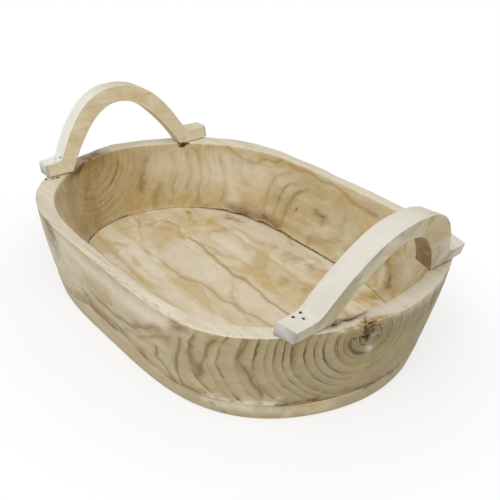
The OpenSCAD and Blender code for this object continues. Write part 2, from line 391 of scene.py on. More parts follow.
PITH_CRACK = [(198, -17, 81), (197, -23, 81), (196, -25, 77), (194, -25, 71), (194, -22, 63)]
PITH_SLIT = [(196, -22, 74), (197, -13, 72)]
PITH_HOLE = [(195, -22, 70), (194, -21, 65)]
PITH_CHECKS = [
    [(196, -30, 80), (195, -33, 72), (193, -30, 62)],
    [(197, -16, 79), (197, -12, 74), (195, -15, 66)],
    [(195, -24, 72), (193, -34, 70)],
    [(195, -20, 68), (194, -8, 66)]]
RIM_CRACK = [(184, -17, 83), (189, -20, 83), (193, -22, 83), (196, -23, 82)]
RIM_DENT = [(183, -42, 83), (184, -33, 83), (185, -27, 83), (185, -20, 83)]
CHIPPED_EDGES = [[(192, -43, 83), (195, -30, 83)], [(197, -19, 83), (199, -2, 83)]]
LIFTED_SEAM = [(-122, 79, 15), (-98, 87, 15), (-73, 93, 15), (-45, 96, 15)]
LIFTED_FOOT = [(-114, 84, 18), (-102, 89, 18), (-90, 93, 19), (-79, 95, 20), (-67, 97, 20), (-52, 98, 18)]
OPEN_SEAM = [(-140, 55, 15), (-122, 79, 15), (-45, 97, 15), (60, 95, 15), (110, 84, 15)]
BACK_SEAM = [(-35, 98, 15), (60, 95, 15)]
FAR_SEAM = [(-130, -70, 15), (-138, -63, 15), (-153, -43, 15), (-163, -27, 15), (-168, -7, 15)]
PARTED_BASE = [(166, -70, 15), (182, -31, 15), (184, -2, 15), (178, 31, 15)]

CRACKS = [
    (PITH_CRACK, 1.1, 1), (PITH_SLIT, 0.9, 0.8), (PITH_HOLE, 2.0, 1), (RIM_CRACK, 1.0, 0.8),
    *((check, 0.8, 0.65) for check in PITH_CHECKS)]
CHIPS = [(edge, 2.4, 1) for edge in CHIPPED_EDGES]
DARK_SEAMS = [(OPEN_SEAM, 10, 0.45), (LIFTED_SEAM, 10, 0.5), (FAR_SEAM, 10, 0.7), (BACK_SEAM, 10, 0.75)]

# Rings cut as grooves, and rings that show clearly, on the two ends
GROOVED_END = [
    ([(196, -4, 76), (195, 14, 72), (190, 45, 66)], 15, 1),
    ([(192, 30, 55)], 14, 0.6),
    ([(194, -32, 76), (191, -36, 66)], 7, 0.5)]
RINGED_END = [
    ([(164, -90, 66), (172, -77, 60), (181, -66, 70)], 19, 1),
    ([(172, -69, 40), (178, -52, 32)], 14, 0.8),
    ([(-173, -26, 55), (-177, -10, 53), (-180, -1, 62)], 6, 0.8),
    ([(-168, -31, 38), (-174, -8, 35), (-176, 9, 42), (-177, 12, 54)], 6, 1),
    ([(190, -42, 73), (190, -37, 61), (191, -28, 58)], 6, 0.9),
    ([(196, -20, 72)], 12, 0.8)]

# Figure lines: along the front side, round the front right corner, down the far end and over the back
WALL_FIGURE = [
    ([(-150, -105, 68), (-92, -122, 61), (-61, -125, 55), (-44, -124, 46), (-8, -124, 45)], 2.6, 0.4),
    ([(-8, -124, 45), (24, -124, 42), (56, -124, 48), (91, -125, 62), (122, -122, 79)], 3.0, 0.65),
    ([(-47, -121, 26), (-10, -121, 27), (25, -122, 30), (60, -123, 41), (86, -124, 52),
      (109, -123, 64)], 2.4, 0.45),
    ([(85, -122, 42), (83, -120, 32), (92, -118, 25), (98, -115, 18)], 2.2, 0.75),
    ([(120, -121, 68), (111, -120, 50), (105, -117, 32), (108, -113, 20), (123, -108, 18)], 2.4, 0.8),
    ([(145, -111, 78), (137, -113, 62), (125, -113, 38)], 2.2, 0.75),
    ([(163, -97, 82), (157, -100, 66), (154, -101, 60), (157, -94, 49), (158, -84, 25)], 1.9, 0.8),
    ([(-30, -123, 40), (-25, -122, 29)], 3, 0.5),
    ([(-165, 50, 72), (-161, 54, 54), (-161, 46, 31)], 2.2, 0.7),
    ([(-157, 62, 72), (-152, 65, 54), (-153, 60, 33)], 2.2, 0.7),
    ([(-152, 69, 74), (-148, 72, 63), (-147, 70, 48), (-146, 65, 23)], 2.0, 0.75),
    ([(-145, 75, 66), (-139, 79, 53), (-140, 74, 38)], 1.8, 0.6),
    ([(-134, 86, 70), (-125, 89, 55), (-124, 87, 43), (-126, 82, 28)], 2.2, 0.75),
    *fading([(-62, 102, 29), (-62, 106, 42), (-59, 109, 53), (-49, 112, 62), (-41, 113, 65),
             (-30, 114, 68)], 2.4, 0.75),
    *fading([(-48, 102, 26), (-46, 107, 43), (-42, 110, 54), (-33, 112, 61), (-22, 113, 64),
             (-8, 114, 65)], 2.6, 0.8),
    *fading([(-78, 101, 33), (-78, 106, 49), (-72, 109, 63), (-62, 112, 68), (-48, 114, 71)],
            2.4, 0.65),
    ([(-58, 115, 77), (-17, 117, 78), (22, 117, 76), (42, 115, 72), (66, 115, 70)], 2.2, 0.65),
    ([(-127, 93, 80), (-115, 99, 73), (-100, 105, 71), (-70, 114, 79)], 2.4, 0.65)]

WALL_BROWN = [
    # Old bark and stains at the far end
    ([(-154, -68, 80), (-161, -58, 80), (-168, -49, 82), (-178, -37, 83), (-186, -20, 83)], 8, 1),
    ([(-168, 37, 42), (-167, 28, 22)], 4, 0.6),
    ([(-176, 26, 69), (-175, 22, 55), (-174, 16, 39)], 4.5, 0.8),
    ([(-163, -49, 58), (-162, -45, 40), (-158, -44, 24)], 14, 0.55),
    ([(-150, -70, 68), (-142, -75, 48), (-146, -60, 24)], 17, 0.5),
    ([(-128, -89, 68), (-134, -80, 45)], 12, 0.3),
    # The front side and its rim
    ([(10, -128, 82), (79, -127.5, 82), (112, -124, 82), (126, -121, 81)], 1.6, 0.6),
    ([(84, -125, 58), (111, -124, 70), (125, -122, 79)], 4, 0.6),
    ([(-25, -123, 40), (-19, -122, 33), (-15, -122, 27)], 4, 1),
    ([(124, -117, 55), (127, -114, 45)], 7, 0.65),
    ([(-150, -115, 83), (-50, -123, 83), (70, -123, 83)], 9, 0.16),
    # The hollow's back side
    ([(95, 102, 40), (99, 98, 33), (104, 94, 26)], 4, 1),
    ([(98, 103, 43), (101, 105, 51)], 4, 0.6),
    ([(107, 104, 52), (107, 106, 60)], 3, 0.6),
    ([(92, 101, 40), (108, 97, 40)], 20, 0.5),
    ([(-10, 100, 21)], 6, 0.65),
    ([(-8, 109, 48), (4, 109, 45)], 4.5, 0.7),
    ([(29, 111, 56), (28, 107, 40)], 5, 0.3),
    ([(-113, 97, 58), (-108, 98, 53), (-104, 98, 47)], 3, 0.6),
    ([(-146, 60, 17), (-133, 73, 17), (-120, 79, 17)], 2.5, 0.8),
    (LIFTED_FOOT, 7, 1),
    # The joint with the base
    ([(165, -71, 18), (171, -59, 18), (176, -46, 18)], 3.2, 0.9),
    ([(182, -26, 18), (184, 6, 18)], 3, 0.8),
    ([(123, -108, 20), (126, -106, 18)], 2.2, 0.9),
    ([(146, -95, 23), (147, -94, 20)], 2.2, 0.9),
    # The near end's rim
    (RIM_DENT, 4.5, 0.75),
    (RIM_CRACK, 2.6, 0.75),
    ([(192, -43, 83), (196, -24, 83), (199, -6, 83)], 2.4, 0.9),
    ([(199, -6, 83), (198, 15, 83), (193, 38, 83), (184, 64, 83)], 1.8, 0.6)]
WALL_GOLD = [
    ([(-172, 7, 26), (-166, 33, 24), (-153, 56, 23), (-120, 82, 23)], 9, 0.35),
    ([(-168, -46, 76), (-179, -33, 79)], 5, 0.7),
    ([(-104, 96, 41), (-81, 102, 38)], 10, 0.6),
    ([(18, 115, 69), (36, 113, 64), (56, 111, 57)], 9, 0.5),
    ([(192, -43, 82), (196, -26, 82), (199, -2, 82)], 3, 0.8),
    ([(-17, -122, 27)], 5, 0.8),
    ([(110, 92, 27)], 5, 0.7)]
WALL_PALE = [
    ([(-49, -127, 71), (-8, -127, 70), (32, -127, 69), (69, -127, 70), (104, -125, 74)], 9, 0.7),
    ([(90, 99, 33), (93, 96, 24)], 3.5, 0.6),
    ([(120, 97, 47)], 14, 0.5),
    ([(191, -43, 83), (190, -34, 83), (191, -29, 83)], 3.5, 0.9),
    # Painted light on the near end's rim beside the near handle, lifting the handle's shadow there
    ([(192, -4, 83), (193, 30, 83), (186, 62, 83)], 7, 0.8),
    ([(-165, -95, 45), (-100, -120, 45), (-40, -124, 50)], 26, 0.5),
    ([(-168, 42, 60), (-150, 68, 52), (-120, 88, 52), (-95, 100, 55)], 20, 0.5),
    ([(-127, 92, 69), (-120, 91, 50), (-114, 90, 32)], 8, 0.6),
    ([(-15, 99, 19), (-8, 105, 33), (10, 105, 36)], 5, 0.4)]
WALL_FILLED = [
    ([(126, -105, 16), (138, -99, 16), (150, -90, 18), (164, -74, 21)], 5, 0.9),
    ([(193, -19, 58)], 4, 0.9),
    ([(196, -16, 69)], 2.5, 0.5)]
WALL_BLACK = [
    # Old bark at the far end, and painted shadow on the rim under and beside the far handle's feet
    ([(-160, -58, 77), (-165, -52, 81), (-170, -46, 82)], 5, 0.55),
    ([(-174, -40, 82), (-179, -34, 83), (-185, -20, 83)], 4, 0.45),
    ([(-163, 57, 82), (-160, 60, 80), (-157, 66, 83)], 2.6, 0.9),
    ([(-153, -91, 83), (-152, -80, 83)], 2.2, 1),
    # Knots and spots on the two sides
    ([(-22, -123, 37), (-18, -122, 31)], 2.2, 0.55),
    ([(-32, 107, 42)], 2, 0.9),
    ([(-8, 109, 48), (1, 109, 46)], 2.6, 0.5),
    (LIFTED_FOOT, 4, 0.42),
    ([(-78, 97, 23), (-70, 98, 23)], 3, 0.6),
    # The near end's pith and rim
    (RIM_DENT, 1.8, 0.75),
    ([(196, -22, 79), (195, -23, 71)], 6, 0.58),
    # The joint with the base
    ([(124, -107, 19)], 2.4, 0.5),
    ([(146, -95, 21)], 2.4, 0.5),
    ([(163, -72, 17), (169, -62, 17)], 3, 0.6),
    ([(174, -53, 17), (178, -43, 16)], 1.6, 0.6),
    ([(182, -18, 16), (184, -8, 16), (184.5, 2, 16)], 1.9, 0.8),
    ([(183, 13, 16), (179, 30, 16)], 1.7, 0.8)]

# Unevenness of the wall, each as size, depth and seed
ADZED = (60 * MM, 0.45 * MM, 3)
SCRAPED = (11 * MM, 0.16 * MM, 4)
RIM_WAVES = (25 * MM, 0.5 * MM, 8)
CHIP_WAVES = (7 * MM, 1, 5)
SEAM_WAVES = (16 * MM, 1.6, 6)
PARTED_WAVES = (22 * MM, 1.2, 9)
WALL_STRAYS = ((12 * MM, 1.5 * MM, 31), (4 * MM, 0.7 * MM, 41))
WALL_FIGURE_STRAY = (30 * MM, 2.2 * MM, 36)

CRACK_DEPTH = 2.0 * MM
CHIP_DEPTH = 1.6 * MM
DENT_DEPTH = 1.5 * MM
DENT_WIDTH = 3.5
SEAM_GAP = 0.15 * MM
OPEN_GAP = 0.2 * MM
OPEN_WIDTH = 9
LIFTED_GAP = 1.5 * MM
LIFTED_WIDTH = 11
LEAST_SEAM = 0.15
LIFT_HEIGHT = 9 * MM
LIFT_FALL = 2
LIP_LIFT = 0.5
FOOT_LINE = 1.2 * MM
FOOT_GAPS = (0.1 * MM, 0.5 * MM)
FOOT_DARKNESS = (0.08, 0.75)
PARTED_WIDTH = 12
LEAST_DARK_SEAM = 0.12
DARK_FALL = 5
END_GRAIN_POWER = 1.5


def bowl_wall(material):
    """The wall as one grid, sunk along its normals by tool marks, chips, cracks and an open floor seam."""
    ovals, z, skins = wall_section()
    points = rings(ovals, z)
    normal = grid_normals(points)
    side = np.broadcast_to(skins[:, None], points.shape[:2])
    rim = (side >= OUTER_BEND) & (side <= INNER_BEND)
    ragged = strayed(points, *WALL_STRAYS)
    crack = strongest(ragged, CRACKS)
    chips = strongest(ragged, CHIPS) * uneven(points, *CHIP_WAVES)
    sink = uneven(points, *ADZED) + uneven(points, *SCRAPED)
    sink += uneven(points, *RIM_WAVES) * rim
    sink += CRACK_DEPTH * crack + CHIP_DEPTH * chips + DENT_DEPTH * along(ragged, RIM_DENT, DENT_WIDTH)
    seam = SEAM_GAP + OPEN_GAP * along(ragged, OPEN_SEAM, OPEN_WIDTH)
    seam += LIFTED_GAP * along(ragged, LIFTED_SEAM, LIFTED_WIDTH)
    seam *= LEAST_SEAM + uneven(points, *SEAM_WAVES)
    lift = smooth(BOARD_TOP + LIFT_HEIGHT, BOARD_TOP, points[..., 2]) ** LIFT_FALL * (side == HOLLOW)
    lift += (side == LIP) * LIP_LIFT
    foot = smooth(BOARD_TOP + FOOT_LINE, BOARD_TOP, points[..., 2]) * (side == OUTSIDE)
    parted = along(ragged, PARTED_BASE, PARTED_WIDTH) * uneven(points, *PARTED_WAVES)
    shape = points - normal * (sink * (side <= HOLLOW))[..., None]
    shape[..., 2] += lift * seam
    shape -= normal * (foot * mix(*FOOT_GAPS, parted))[..., None]
    figure, figure_depth = traced(strayed(points, WALL_FIGURE_STRAY), WALL_FIGURE, normal)
    open_seam = np.clip(lift, 0, 1) ** DARK_FALL * np.clip(strongest(ragged, DARK_SEAMS), LEAST_DARK_SEAM, 1)
    piece("carved_wall", shape, "bowl_wall", "wall", material, sharp=60, rows_close=True,
          end_grain=np.abs(normal[..., 0]) ** END_GRAIN_POWER,
          planed=rim,
          hollow=(side >= INNER_BEND) & (side <= LIP),
          grooved=(side == OUTSIDE) * strongest(ragged, GROOVED_END),
          ringed=strongest(ragged, RINGED_END),
          figure=figure,
          figure_depth=figure_depth * ((side == OUTSIDE) | (side == HOLLOW)),
          black=np.maximum.reduce([strongest(ragged, WALL_BLACK), crack, foot * mix(*FOOT_DARKNESS, parted),
                                   open_seam]),
          brown=strongest(ragged, WALL_BROWN),
          gold=np.maximum(chips, strongest(ragged, WALL_GOLD)),
          pale=strongest(ragged, WALL_PALE),
          filled=strongest(ragged, WALL_FILLED))


# The base boards

BOARD_EASE = 0.15 * MM
BOARD_EDGE_DEPTHS = np.array([0.35, 2, 5, 8, 11]) * MM
BOARD_COLUMN_SHARE = 0.0085
BOARD_ROW = 1.5 * MM
FINE_STEP = 0.3 * MM
LONG_SIDE_SHARE = 0.02
LONG_SIDE_ROWS = 14
LONG_SIDE_CLOSENESS = 3

PLANED = (45 * MM, 0.3 * MM, 11)
SANDED = (9 * MM, 0.1 * MM, 12)
UNDER_WAVES = (40 * MM, 0.15 * MM, 13)
BOARD_STRAYS = ((14 * MM, 2 * MM, 51), (5 * MM, 0.8 * MM, 61))
BOARD_FIGURE_STRAY = (40 * MM, 2.5 * MM, 56)

JOINT_DEPTH = 0.25 * MM
JOINT_WIDTH = 0.7 * MM
JOINT_STAIN = (1.0 * MM, 0.2 * MM)
JOINT_DARKNESS = 0.25
BASE_PIT_REACH = 2.2 * MM
BASE_PIT = (1.75 * MM, 1.42 * MM)
BASE_PIT_DEPTH = HEAD_SINK + 0.2 * MM
BASE_STAIN = 2.4 * MM
BASE_STAIN_DARKNESS = 0.8
SIDE_END_GRAIN = 0.7
SAME_HEIGHT = 1e-9


def base_brads():
    """The base brads' places: halfway between the two skins of the wall where it meets the boards."""
    outer, inner = outer_ovals(BOARD_TOP), inner_ovals(BOARD_TOP)
    turns = np.concatenate([BASE_BRAD_TURNS, BASE_BRAD_TURNS + math.pi])
    return np.array([(oval_point(outer, t) + oval_point(inner, t)) / 2 for t in turns])


def board_loop(columns):
    """Once round a board's section: share of the reach, height and inset, over the top and back under it."""
    bend = np.linspace(0, QUARTER_TURN, ROUND_ROWS)
    flat, across = np.zeros(len(BOARD_EDGE_DEPTHS)), np.ones(len(columns))
    edge_z = np.concatenate([BOARD_TOP - BOARD_EDGE_DEPTHS, BASE_EASE * (1 - np.sin(bend))])
    edge_in = np.concatenate([flat, BASE_EASE * (1 - np.cos(bend))])
    end = np.ones(len(edge_z))
    share = np.concatenate([columns, end, columns[::-1], -end])
    z = np.concatenate([BOARD_TOP * across, edge_z, 0 * across, edge_z[::-1]])
    inset = np.concatenate([BOARD_EASE * across, edge_in, BASE_EASE * across, edge_in[::-1]])
    return share, z, inset


def board_edges(ovals, start, finish):
    """The y of a board's two edges in each oval: its joint or, where that is None, the oval's long side."""
    low = ovals[..., DRIFT] - ovals[..., WIDTH] if start is None else start
    high = ovals[..., DRIFT] + ovals[..., WIDTH] if finish is None else finish
    return low, high


def base_board(name, node, material, start, finish, figure=(), brown=(), gold=(), black=(), pale=()):
    """A board as a loop round its section, carried across the bowl from one edge to the other.

    A point's x is its share of the oval's reach at its y and height. An edge is None on a long side."""
    under = grown(outer_ovals(0.0), -BASE_EASE)
    first, last = board_edges(under, start, finish)
    wide = last - first
    brads = base_brads()
    brads = brads[(brads[:, 1] > first) & (brads[:, 1] < last)]
    reach = reach_towards(under, brads[:, 0], brads[:, 1])
    columns = clustered(-1, 1, BOARD_COLUMN_SHARE, brads[:, 0] / reach, BASE_PIT_REACH / reach.mean(),
                        FINE_STEP / reach.mean())
    rows = clustered(0, 1, BOARD_ROW / wide, (brads[:, 1] - first) / wide, BASE_PIT_REACH / wide,
                     FINE_STEP / wide)
    long_side = LONG_SIDE_SHARE * np.linspace(0, 1, LONG_SIDE_ROWS) ** LONG_SIDE_CLOSENESS
    closer = [long_side] * (start is None) + [1 - long_side] * (finish is None)
    rows = np.unique(np.concatenate([rows, *closer]))
    share, z, inset = board_loop(columns)
    ovals = grown(outer_ovals(z), -inset)
    low, high = board_edges(ovals, start, finish)
    y = mix(low, high, rows[:, None]) * np.ones(len(z))
    x = reach_towards(ovals, share, y) * share
    points = np.stack([x, y, np.broadcast_to(z, y.shape)], -1)
    top = (np.abs(z - BOARD_TOP) < SAME_HEIGHT) * np.ones(y.shape)
    bottom = (z < SAME_HEIGHT) * np.ones(y.shape)
    from_joint = np.min([np.abs(y - joint) for joint in (start, finish) if joint is not None], axis=0)
    shape = points.copy()
    shape[..., 2] -= top * (uneven(points, *PLANED) + uneven(points, *SANDED))
    shape[..., 2] += bottom * uneven(points, *UNDER_WAVES)
    shape[..., 2] -= top * JOINT_DEPTH * smooth(JOINT_WIDTH, 0, from_joint)
    stain = np.zeros(y.shape)
    for place in brads:
        away = np.linalg.norm(points[..., :2] - place, axis=-1)
        shape[..., 2] += bottom * BASE_PIT_DEPTH * smooth(*BASE_PIT, away)
        stain = np.maximum(stain, bottom * np.exp(-(away / BASE_STAIN) ** 2))
    ragged = strayed(points, *BOARD_STRAYS)
    # The marks stray only along the floor
    ragged[..., 2] = points[..., 2]
    close, depth = traced(strayed(points, BOARD_FIGURE_STRAY), figure, np.array([0, 0, 1]))
    joint_dark = JOINT_DARKNESS * smooth(*JOINT_STAIN, from_joint)
    edge = (1 - top) * (1 - bottom)
    piece(name, shape, node, "base", material, sharp=50,
          end_grain=edge * mix(SIDE_END_GRAIN, 1, np.abs(x) / np.abs(x).max()),
          black=np.maximum.reduce([strongest(ragged, black), joint_dark, stain * BASE_STAIN_DARKNESS]),
          figure=close,
          figure_depth=depth,
          brown=strongest(ragged, brown),
          gold=strongest(ragged, gold),
          pale=strongest(ragged, pale))


# The handles

CORNER_ROUND = 1.1 * MM
END_ROUND = 0.9 * MM
SKEW_FADE = 22 * MM
SLANT_FADE = 17 * MM
OPEN_PIT = 0.8 * MM
FILLED_PIT = 0.45 * MM
FILLED_DARKNESS = 0.5
PIT_SLOPE = 1.5
PIT_STAIN = 1.1
PIT_DEPTH = HEAD_SINK + 0.25 * MM
PIT_REACH = 2.1 * MM
STATION = 1.1 * MM
ACROSS_SHARE = 0.16
SIDE_ROWS = 26
UNDER_COLUMNS = 24
CORNER_ROWS = 6

# How far upwards a corner has to face for pits to reach it, and for the whiter top, which is partly sanding
# and partly painted light
LEAST_UP = 0.1
FACE_UP = 0.5

# On their back legs, the far handle's top is whitened less, and the near one's underside gets painted shade
# in brown
FAR_SANDED = (-5 * MM, 40 * MM)
LEAST_SANDED = 0.2
SHADED_SOFFIT_SPAN = (6 * MM, 30 * MM)
SOFFIT_SHADE = 0.8
# Painted shade along the bottom of each handle, where it meets the rim
CONTACT_SHADE_HEIGHT = 3 * MM
CONTACT_SHADE_DARKNESS = 0.25
END_FACE = 3 * MM
END_EDGE = 0.5 * MM

SAWN = (40 * MM, 0.5 * MM)
SAWN_SEED = 21
RASPED = (8 * MM, 0.14 * MM, 23)
HANDLE_STRAYS = ((14 * MM, 2 * MM, 71), (5 * MM, 0.8 * MM, 81))

# The black marks are painted shadow on the far handle's underside, where its feet meet the rim
HANDLE_BLACK = [([(-158, 55, 84), (-158, 61, 84)], 1.6, 0.9), ([(-154, -86, 84), (-151, -91, 84)], 1.2, 0.8)]
HANDLE_BROWN = [([(-166, 62, 84), (-160, 62, 88)], 3, 0.5), ([(-172, -62, 84)], 3, 0.4)]
HANDLE_GOLD = [
    ([(190, 46, 122), (198, 26, 138)], 12, 0.65), ([(-165, -5, 141), (-165, 22, 134)], 9, 0.65),
    ([(-165, -30, 122)], 8, 0.35)]


class Handle:
    """One handle's own sizes, and its curves in its own frame: X out from the bowl, Y along the handle.

    Its end is 0 at the right and 1 at the left. The inset and the drift place it from the rim's end and
    the bowl's middle, and the crown shifts its arch along it. Turn, lean and the saw cut's skew are angles
    in degrees."""

    def __init__(self, node, end, inset, drift, turn, length, thickness, lean, grip, crown, skew):
        self.node = node
        self.end = end
        self.facing = 1 if end == 0 else -1
        self.seat = RIM[LENGTH] - inset
        self.drift = drift
        self.turn = math.radians(turn)
        self.length = length
        self.lean = math.radians(lean)
        self.thickness = thickness
        self.half_width = thickness / math.cos(self.lean) / 2
        self.grip_width, self.grip_height = grip
        self.crown = crown
        self.skew = math.tan(math.radians(skew))

    def crest(self, s):
        """Upper outline: the arch h(1 - |2s/w|^f) and the level foot, joined by a hyperbola."""
        arch = HANDLE_HEIGHT * (1 - np.abs(2 * (s - self.crown) / ARCH_WIDTH) ** ARCH_FULLNESS)
        return (arch + FOOT_HEIGHT + np.sqrt((arch - FOOT_HEIGHT) ** 2 + FOOT_BLEND ** 2)) / 2

    def soffit(self, s):
        """Lower outline: a parabola over the hand opening, and the rim's level under the feet."""
        return np.maximum(self.grip_height * (1 - (2 * (s - self.crown) / self.grip_width) ** 2), 0)

    def slant(self, s, x):
        """How far the skewed saw cut carries the opening's edge on the second leg, by the place across."""
        toe = self.crown + self.grip_width / 2
        leg = smooth(self.crown, toe, s) * smooth(toe + SLANT_FADE, toe, s)
        return (self.half_width - x) * self.skew * leg

    def end_cut(self, s, x):
        """How far the same cut carries the end of the second foot, by the place across."""
        half = self.length / 2
        return (self.half_width - x) * self.skew * smooth(half - SKEW_FADE, half, s)

    def rim_across(self, s):
        """How far out from the handle's middle the rim's middle passes, at distance s along it."""
        y = self.drift + self.facing * s * math.cos(self.turn)
        rim = (oval_reach(RIM, self.end, y) + oval_reach(MOUTH, self.end, y)) / 2
        return rim - (self.seat - s * math.sin(self.turn))

    def brads(self):
        """The brads' places across and along the handle: in each foot two inwards and one outwards."""
        reach = self.length / 2 - BRAD_TIP_INSET
        sway = self.thickness / 2 - BRAD_EDGE - BRAD_STAGGER / 2
        places = []
        for foot in (-1, 1):
            line = float(np.clip(self.rim_across(foot * reach) * RIM_SHARE, -sway, sway))
            places += [(line - BRAD_STAGGER / 2, foot * (reach - BRAD_PITCH / 2)),
                       (line - BRAD_STAGGER / 2, foot * (reach + BRAD_PITCH / 2)),
                       (line + BRAD_STAGGER / 2, foot * reach)]
        return np.array(places)

    def seated(self, local):
        """Local points turned about the upright and moved to the seat on the rim."""
        turn = self.turn + math.pi * self.end
        c, s = math.cos(turn), math.sin(turn)
        x = local[..., 0] * c - local[..., 1] * s + self.facing * self.seat
        y = local[..., 0] * s + local[..., 1] * c + self.drift
        return np.stack([x, y, local[..., 2] + RIM_HEIGHT], -1)


RIGHT_HANDLE = Handle("right_handle", end=0, inset=30.5 * MM, drift=7.5 * MM, turn=6, length=180 * MM,
                      thickness=18.5 * MM, lean=20, grip=(107 * MM, 50 * MM), crown=-1.5 * MM, skew=20)
LEFT_HANDLE = Handle("left_handle", end=1, inset=36 * MM, drift=0, turn=1.5, length=178 * MM,
                     thickness=15 * MM, lean=14, grip=(120 * MM, 52 * MM), crown=3.5 * MM, skew=0)


def rounded_loop(across, up):
    """Once round a section: shares across and up to the corners' centres, and the corner's own direction."""
    arcs = [np.radians(np.linspace(a, a - 90, CORNER_ROWS)[1:-1]) for a in (90, 0, -90, -180)]
    flat = np.linspace(1, -1, UNDER_COLUMNS)
    sides = [(across, 1, 0, 1), (1, up[::-1], 1, 0), (flat, -1, 0, -1), (-1, up, -1, 0)]
    corners = [(1, 1), (1, -1), (-1, -1), (-1, 1)]
    parts = []
    for side, arc, corner in zip(sides, arcs, corners):
        parts += [np.broadcast_arrays(*side), np.broadcast_arrays(*corner, np.cos(arc), np.sin(arc))]
    return np.hstack(parts).astype(float)


def stations(spec, brads):
    """Places of a handle's sections: even, but closer at the brads and the rounded ends, and at the toes."""
    half = spec.length / 2
    toes = spec.crown + spec.grip_width / 2 * np.array([-1, 1])
    even = clustered(-half, half, STATION, np.unique(brads[:, 1].round(6)), PIT_REACH, FINE_STEP)
    eased = END_ROUND * (1 - np.cos(np.linspace(0, QUARTER_TURN, ROUND_ROWS)))
    s = np.concatenate([-half + eased, even[np.abs(even) < half - END_ROUND], half - eased[::-1], toes])
    return np.unique(s.round(7))[:, None]


def pitted(spec, local, top):
    """Sinks a pit over each brad into a handle's top, square to its face, and gives each pit's darkness."""
    cos, sin = math.cos(spec.lean), math.sin(spec.lean)
    stain = np.zeros(local.shape[:-1])
    for across_at, along_at in spec.brads():
        level = local[..., 0] * cos - local[..., 2] * sin
        away = np.hypot(level - across_at, local[..., 1] - along_at)
        is_open = spec.end == 0 and along_at < 0
        pit, darkness = (OPEN_PIT, 1) if is_open else (FILLED_PIT, FILLED_DARKNESS)
        dent = top * PIT_DEPTH * smooth(PIT_SLOPE * pit, pit, away)
        local[..., 0] -= dent * sin
        local[..., 2] -= dent * cos
        stain = np.maximum(stain, top * darkness * np.exp(-(away / (PIT_STAIN * pit)) ** 2))
    return stain


def handle(spec, name, material):
    """A round-cornered section carried along the arch, sheared by the lean, dented where the brads sit."""
    brads = spec.brads()
    half = spec.length / 2
    flat = spec.half_width - CORNER_ROUND
    lines = np.unique(brads[:, 0].round(6)) / math.cos(spec.lean)
    across = clustered(-1, 1, ACROSS_SHARE, lines / flat, PIT_REACH / flat, FINE_STEP / flat)
    kx, kz, ox, oz = rounded_loop(across, np.linspace(-1, 1, SIDE_ROWS))
    s = stations(spec, brads)
    near_end = np.clip((np.abs(s) - (half - END_ROUND)) / END_ROUND, 0, 1)
    inset = END_ROUND * (1 - np.sqrt(1 - near_end ** 2))
    x = kx * (flat - inset) + ox * CORNER_ROUND
    slanted = s + spec.slant(s, x)
    high, low = spec.crest(slanted + spec.end_cut(s, x)), spec.soffit(s)
    z = (high + low) / 2 + kz * ((high - low) / 2 - CORNER_ROUND - inset) + oz * CORNER_ROUND
    x = x + z * math.tan(spec.lean)
    local = np.stack([x, slanted + spec.end_cut(s, x), z], -1)
    sink = uneven(local, *SAWN, SAWN_SEED + spec.end) + uneven(local, *RASPED)
    sink[[0, -1]] = 0
    local = local - grid_normals(local) * sink[..., None]
    stain = pitted(spec, local, oz > LEAST_UP)
    local[..., 2] = np.maximum(local[..., 2], 0)
    points = spec.seated(local)
    ragged = strayed(points, *HANDLE_STRAYS)
    everywhere = np.ones_like(x)
    sanded_and_lit = mix(LEAST_SANDED, 1, smooth(*FAR_SANDED, s)) if spec.end else 1
    # Painted shade in brown under the near handle's back leg, on its downward faces
    soffit = SOFFIT_SHADE * (oz < -FACE_UP) * smooth(*SHADED_SOFFIT_SPAN, s) * (spec.end == 0)
    # Painted shade: the handle darkens over its lowest 3 mm, on its lower corners and underside, where it
    # sits on the rim
    under = CONTACT_SHADE_DARKNESS * smooth(CONTACT_SHADE_HEIGHT, 0, local[..., 2]) * (oz < 0)
    piece(name, points, spec.node, "handles", material, sharp=40,
          # Up-facing faces get the whiter top: partly sanding, partly painted light from above
          planed=(oz > FACE_UP) * sanded_and_lit * everywhere,
          worn=np.clip(2 * np.abs(ox * oz), 0, 1) * everywhere,
          end_grain=smooth(half - END_FACE, half - END_EDGE, np.abs(s)) * everywhere,
          brown=np.maximum(soffit, strongest(ragged, HANDLE_BROWN)),
          gold=strongest(ragged, HANDLE_GOLD),
          black=np.maximum.reduce([stain, under, strongest(ragged, HANDLE_BLACK)]))


# Shader building


def tone(red, green, blue):
    """A colour's screen values, 0 to 255, as a socket's linear values, by the usual screen curve."""
    screen = np.array([red, green, blue]) / 255
    linear = np.where(screen <= 0.04045, screen / 12.92, ((screen + 0.055) / 1.055) ** 2.4)
    return (*linear.tolist(), 1.0)


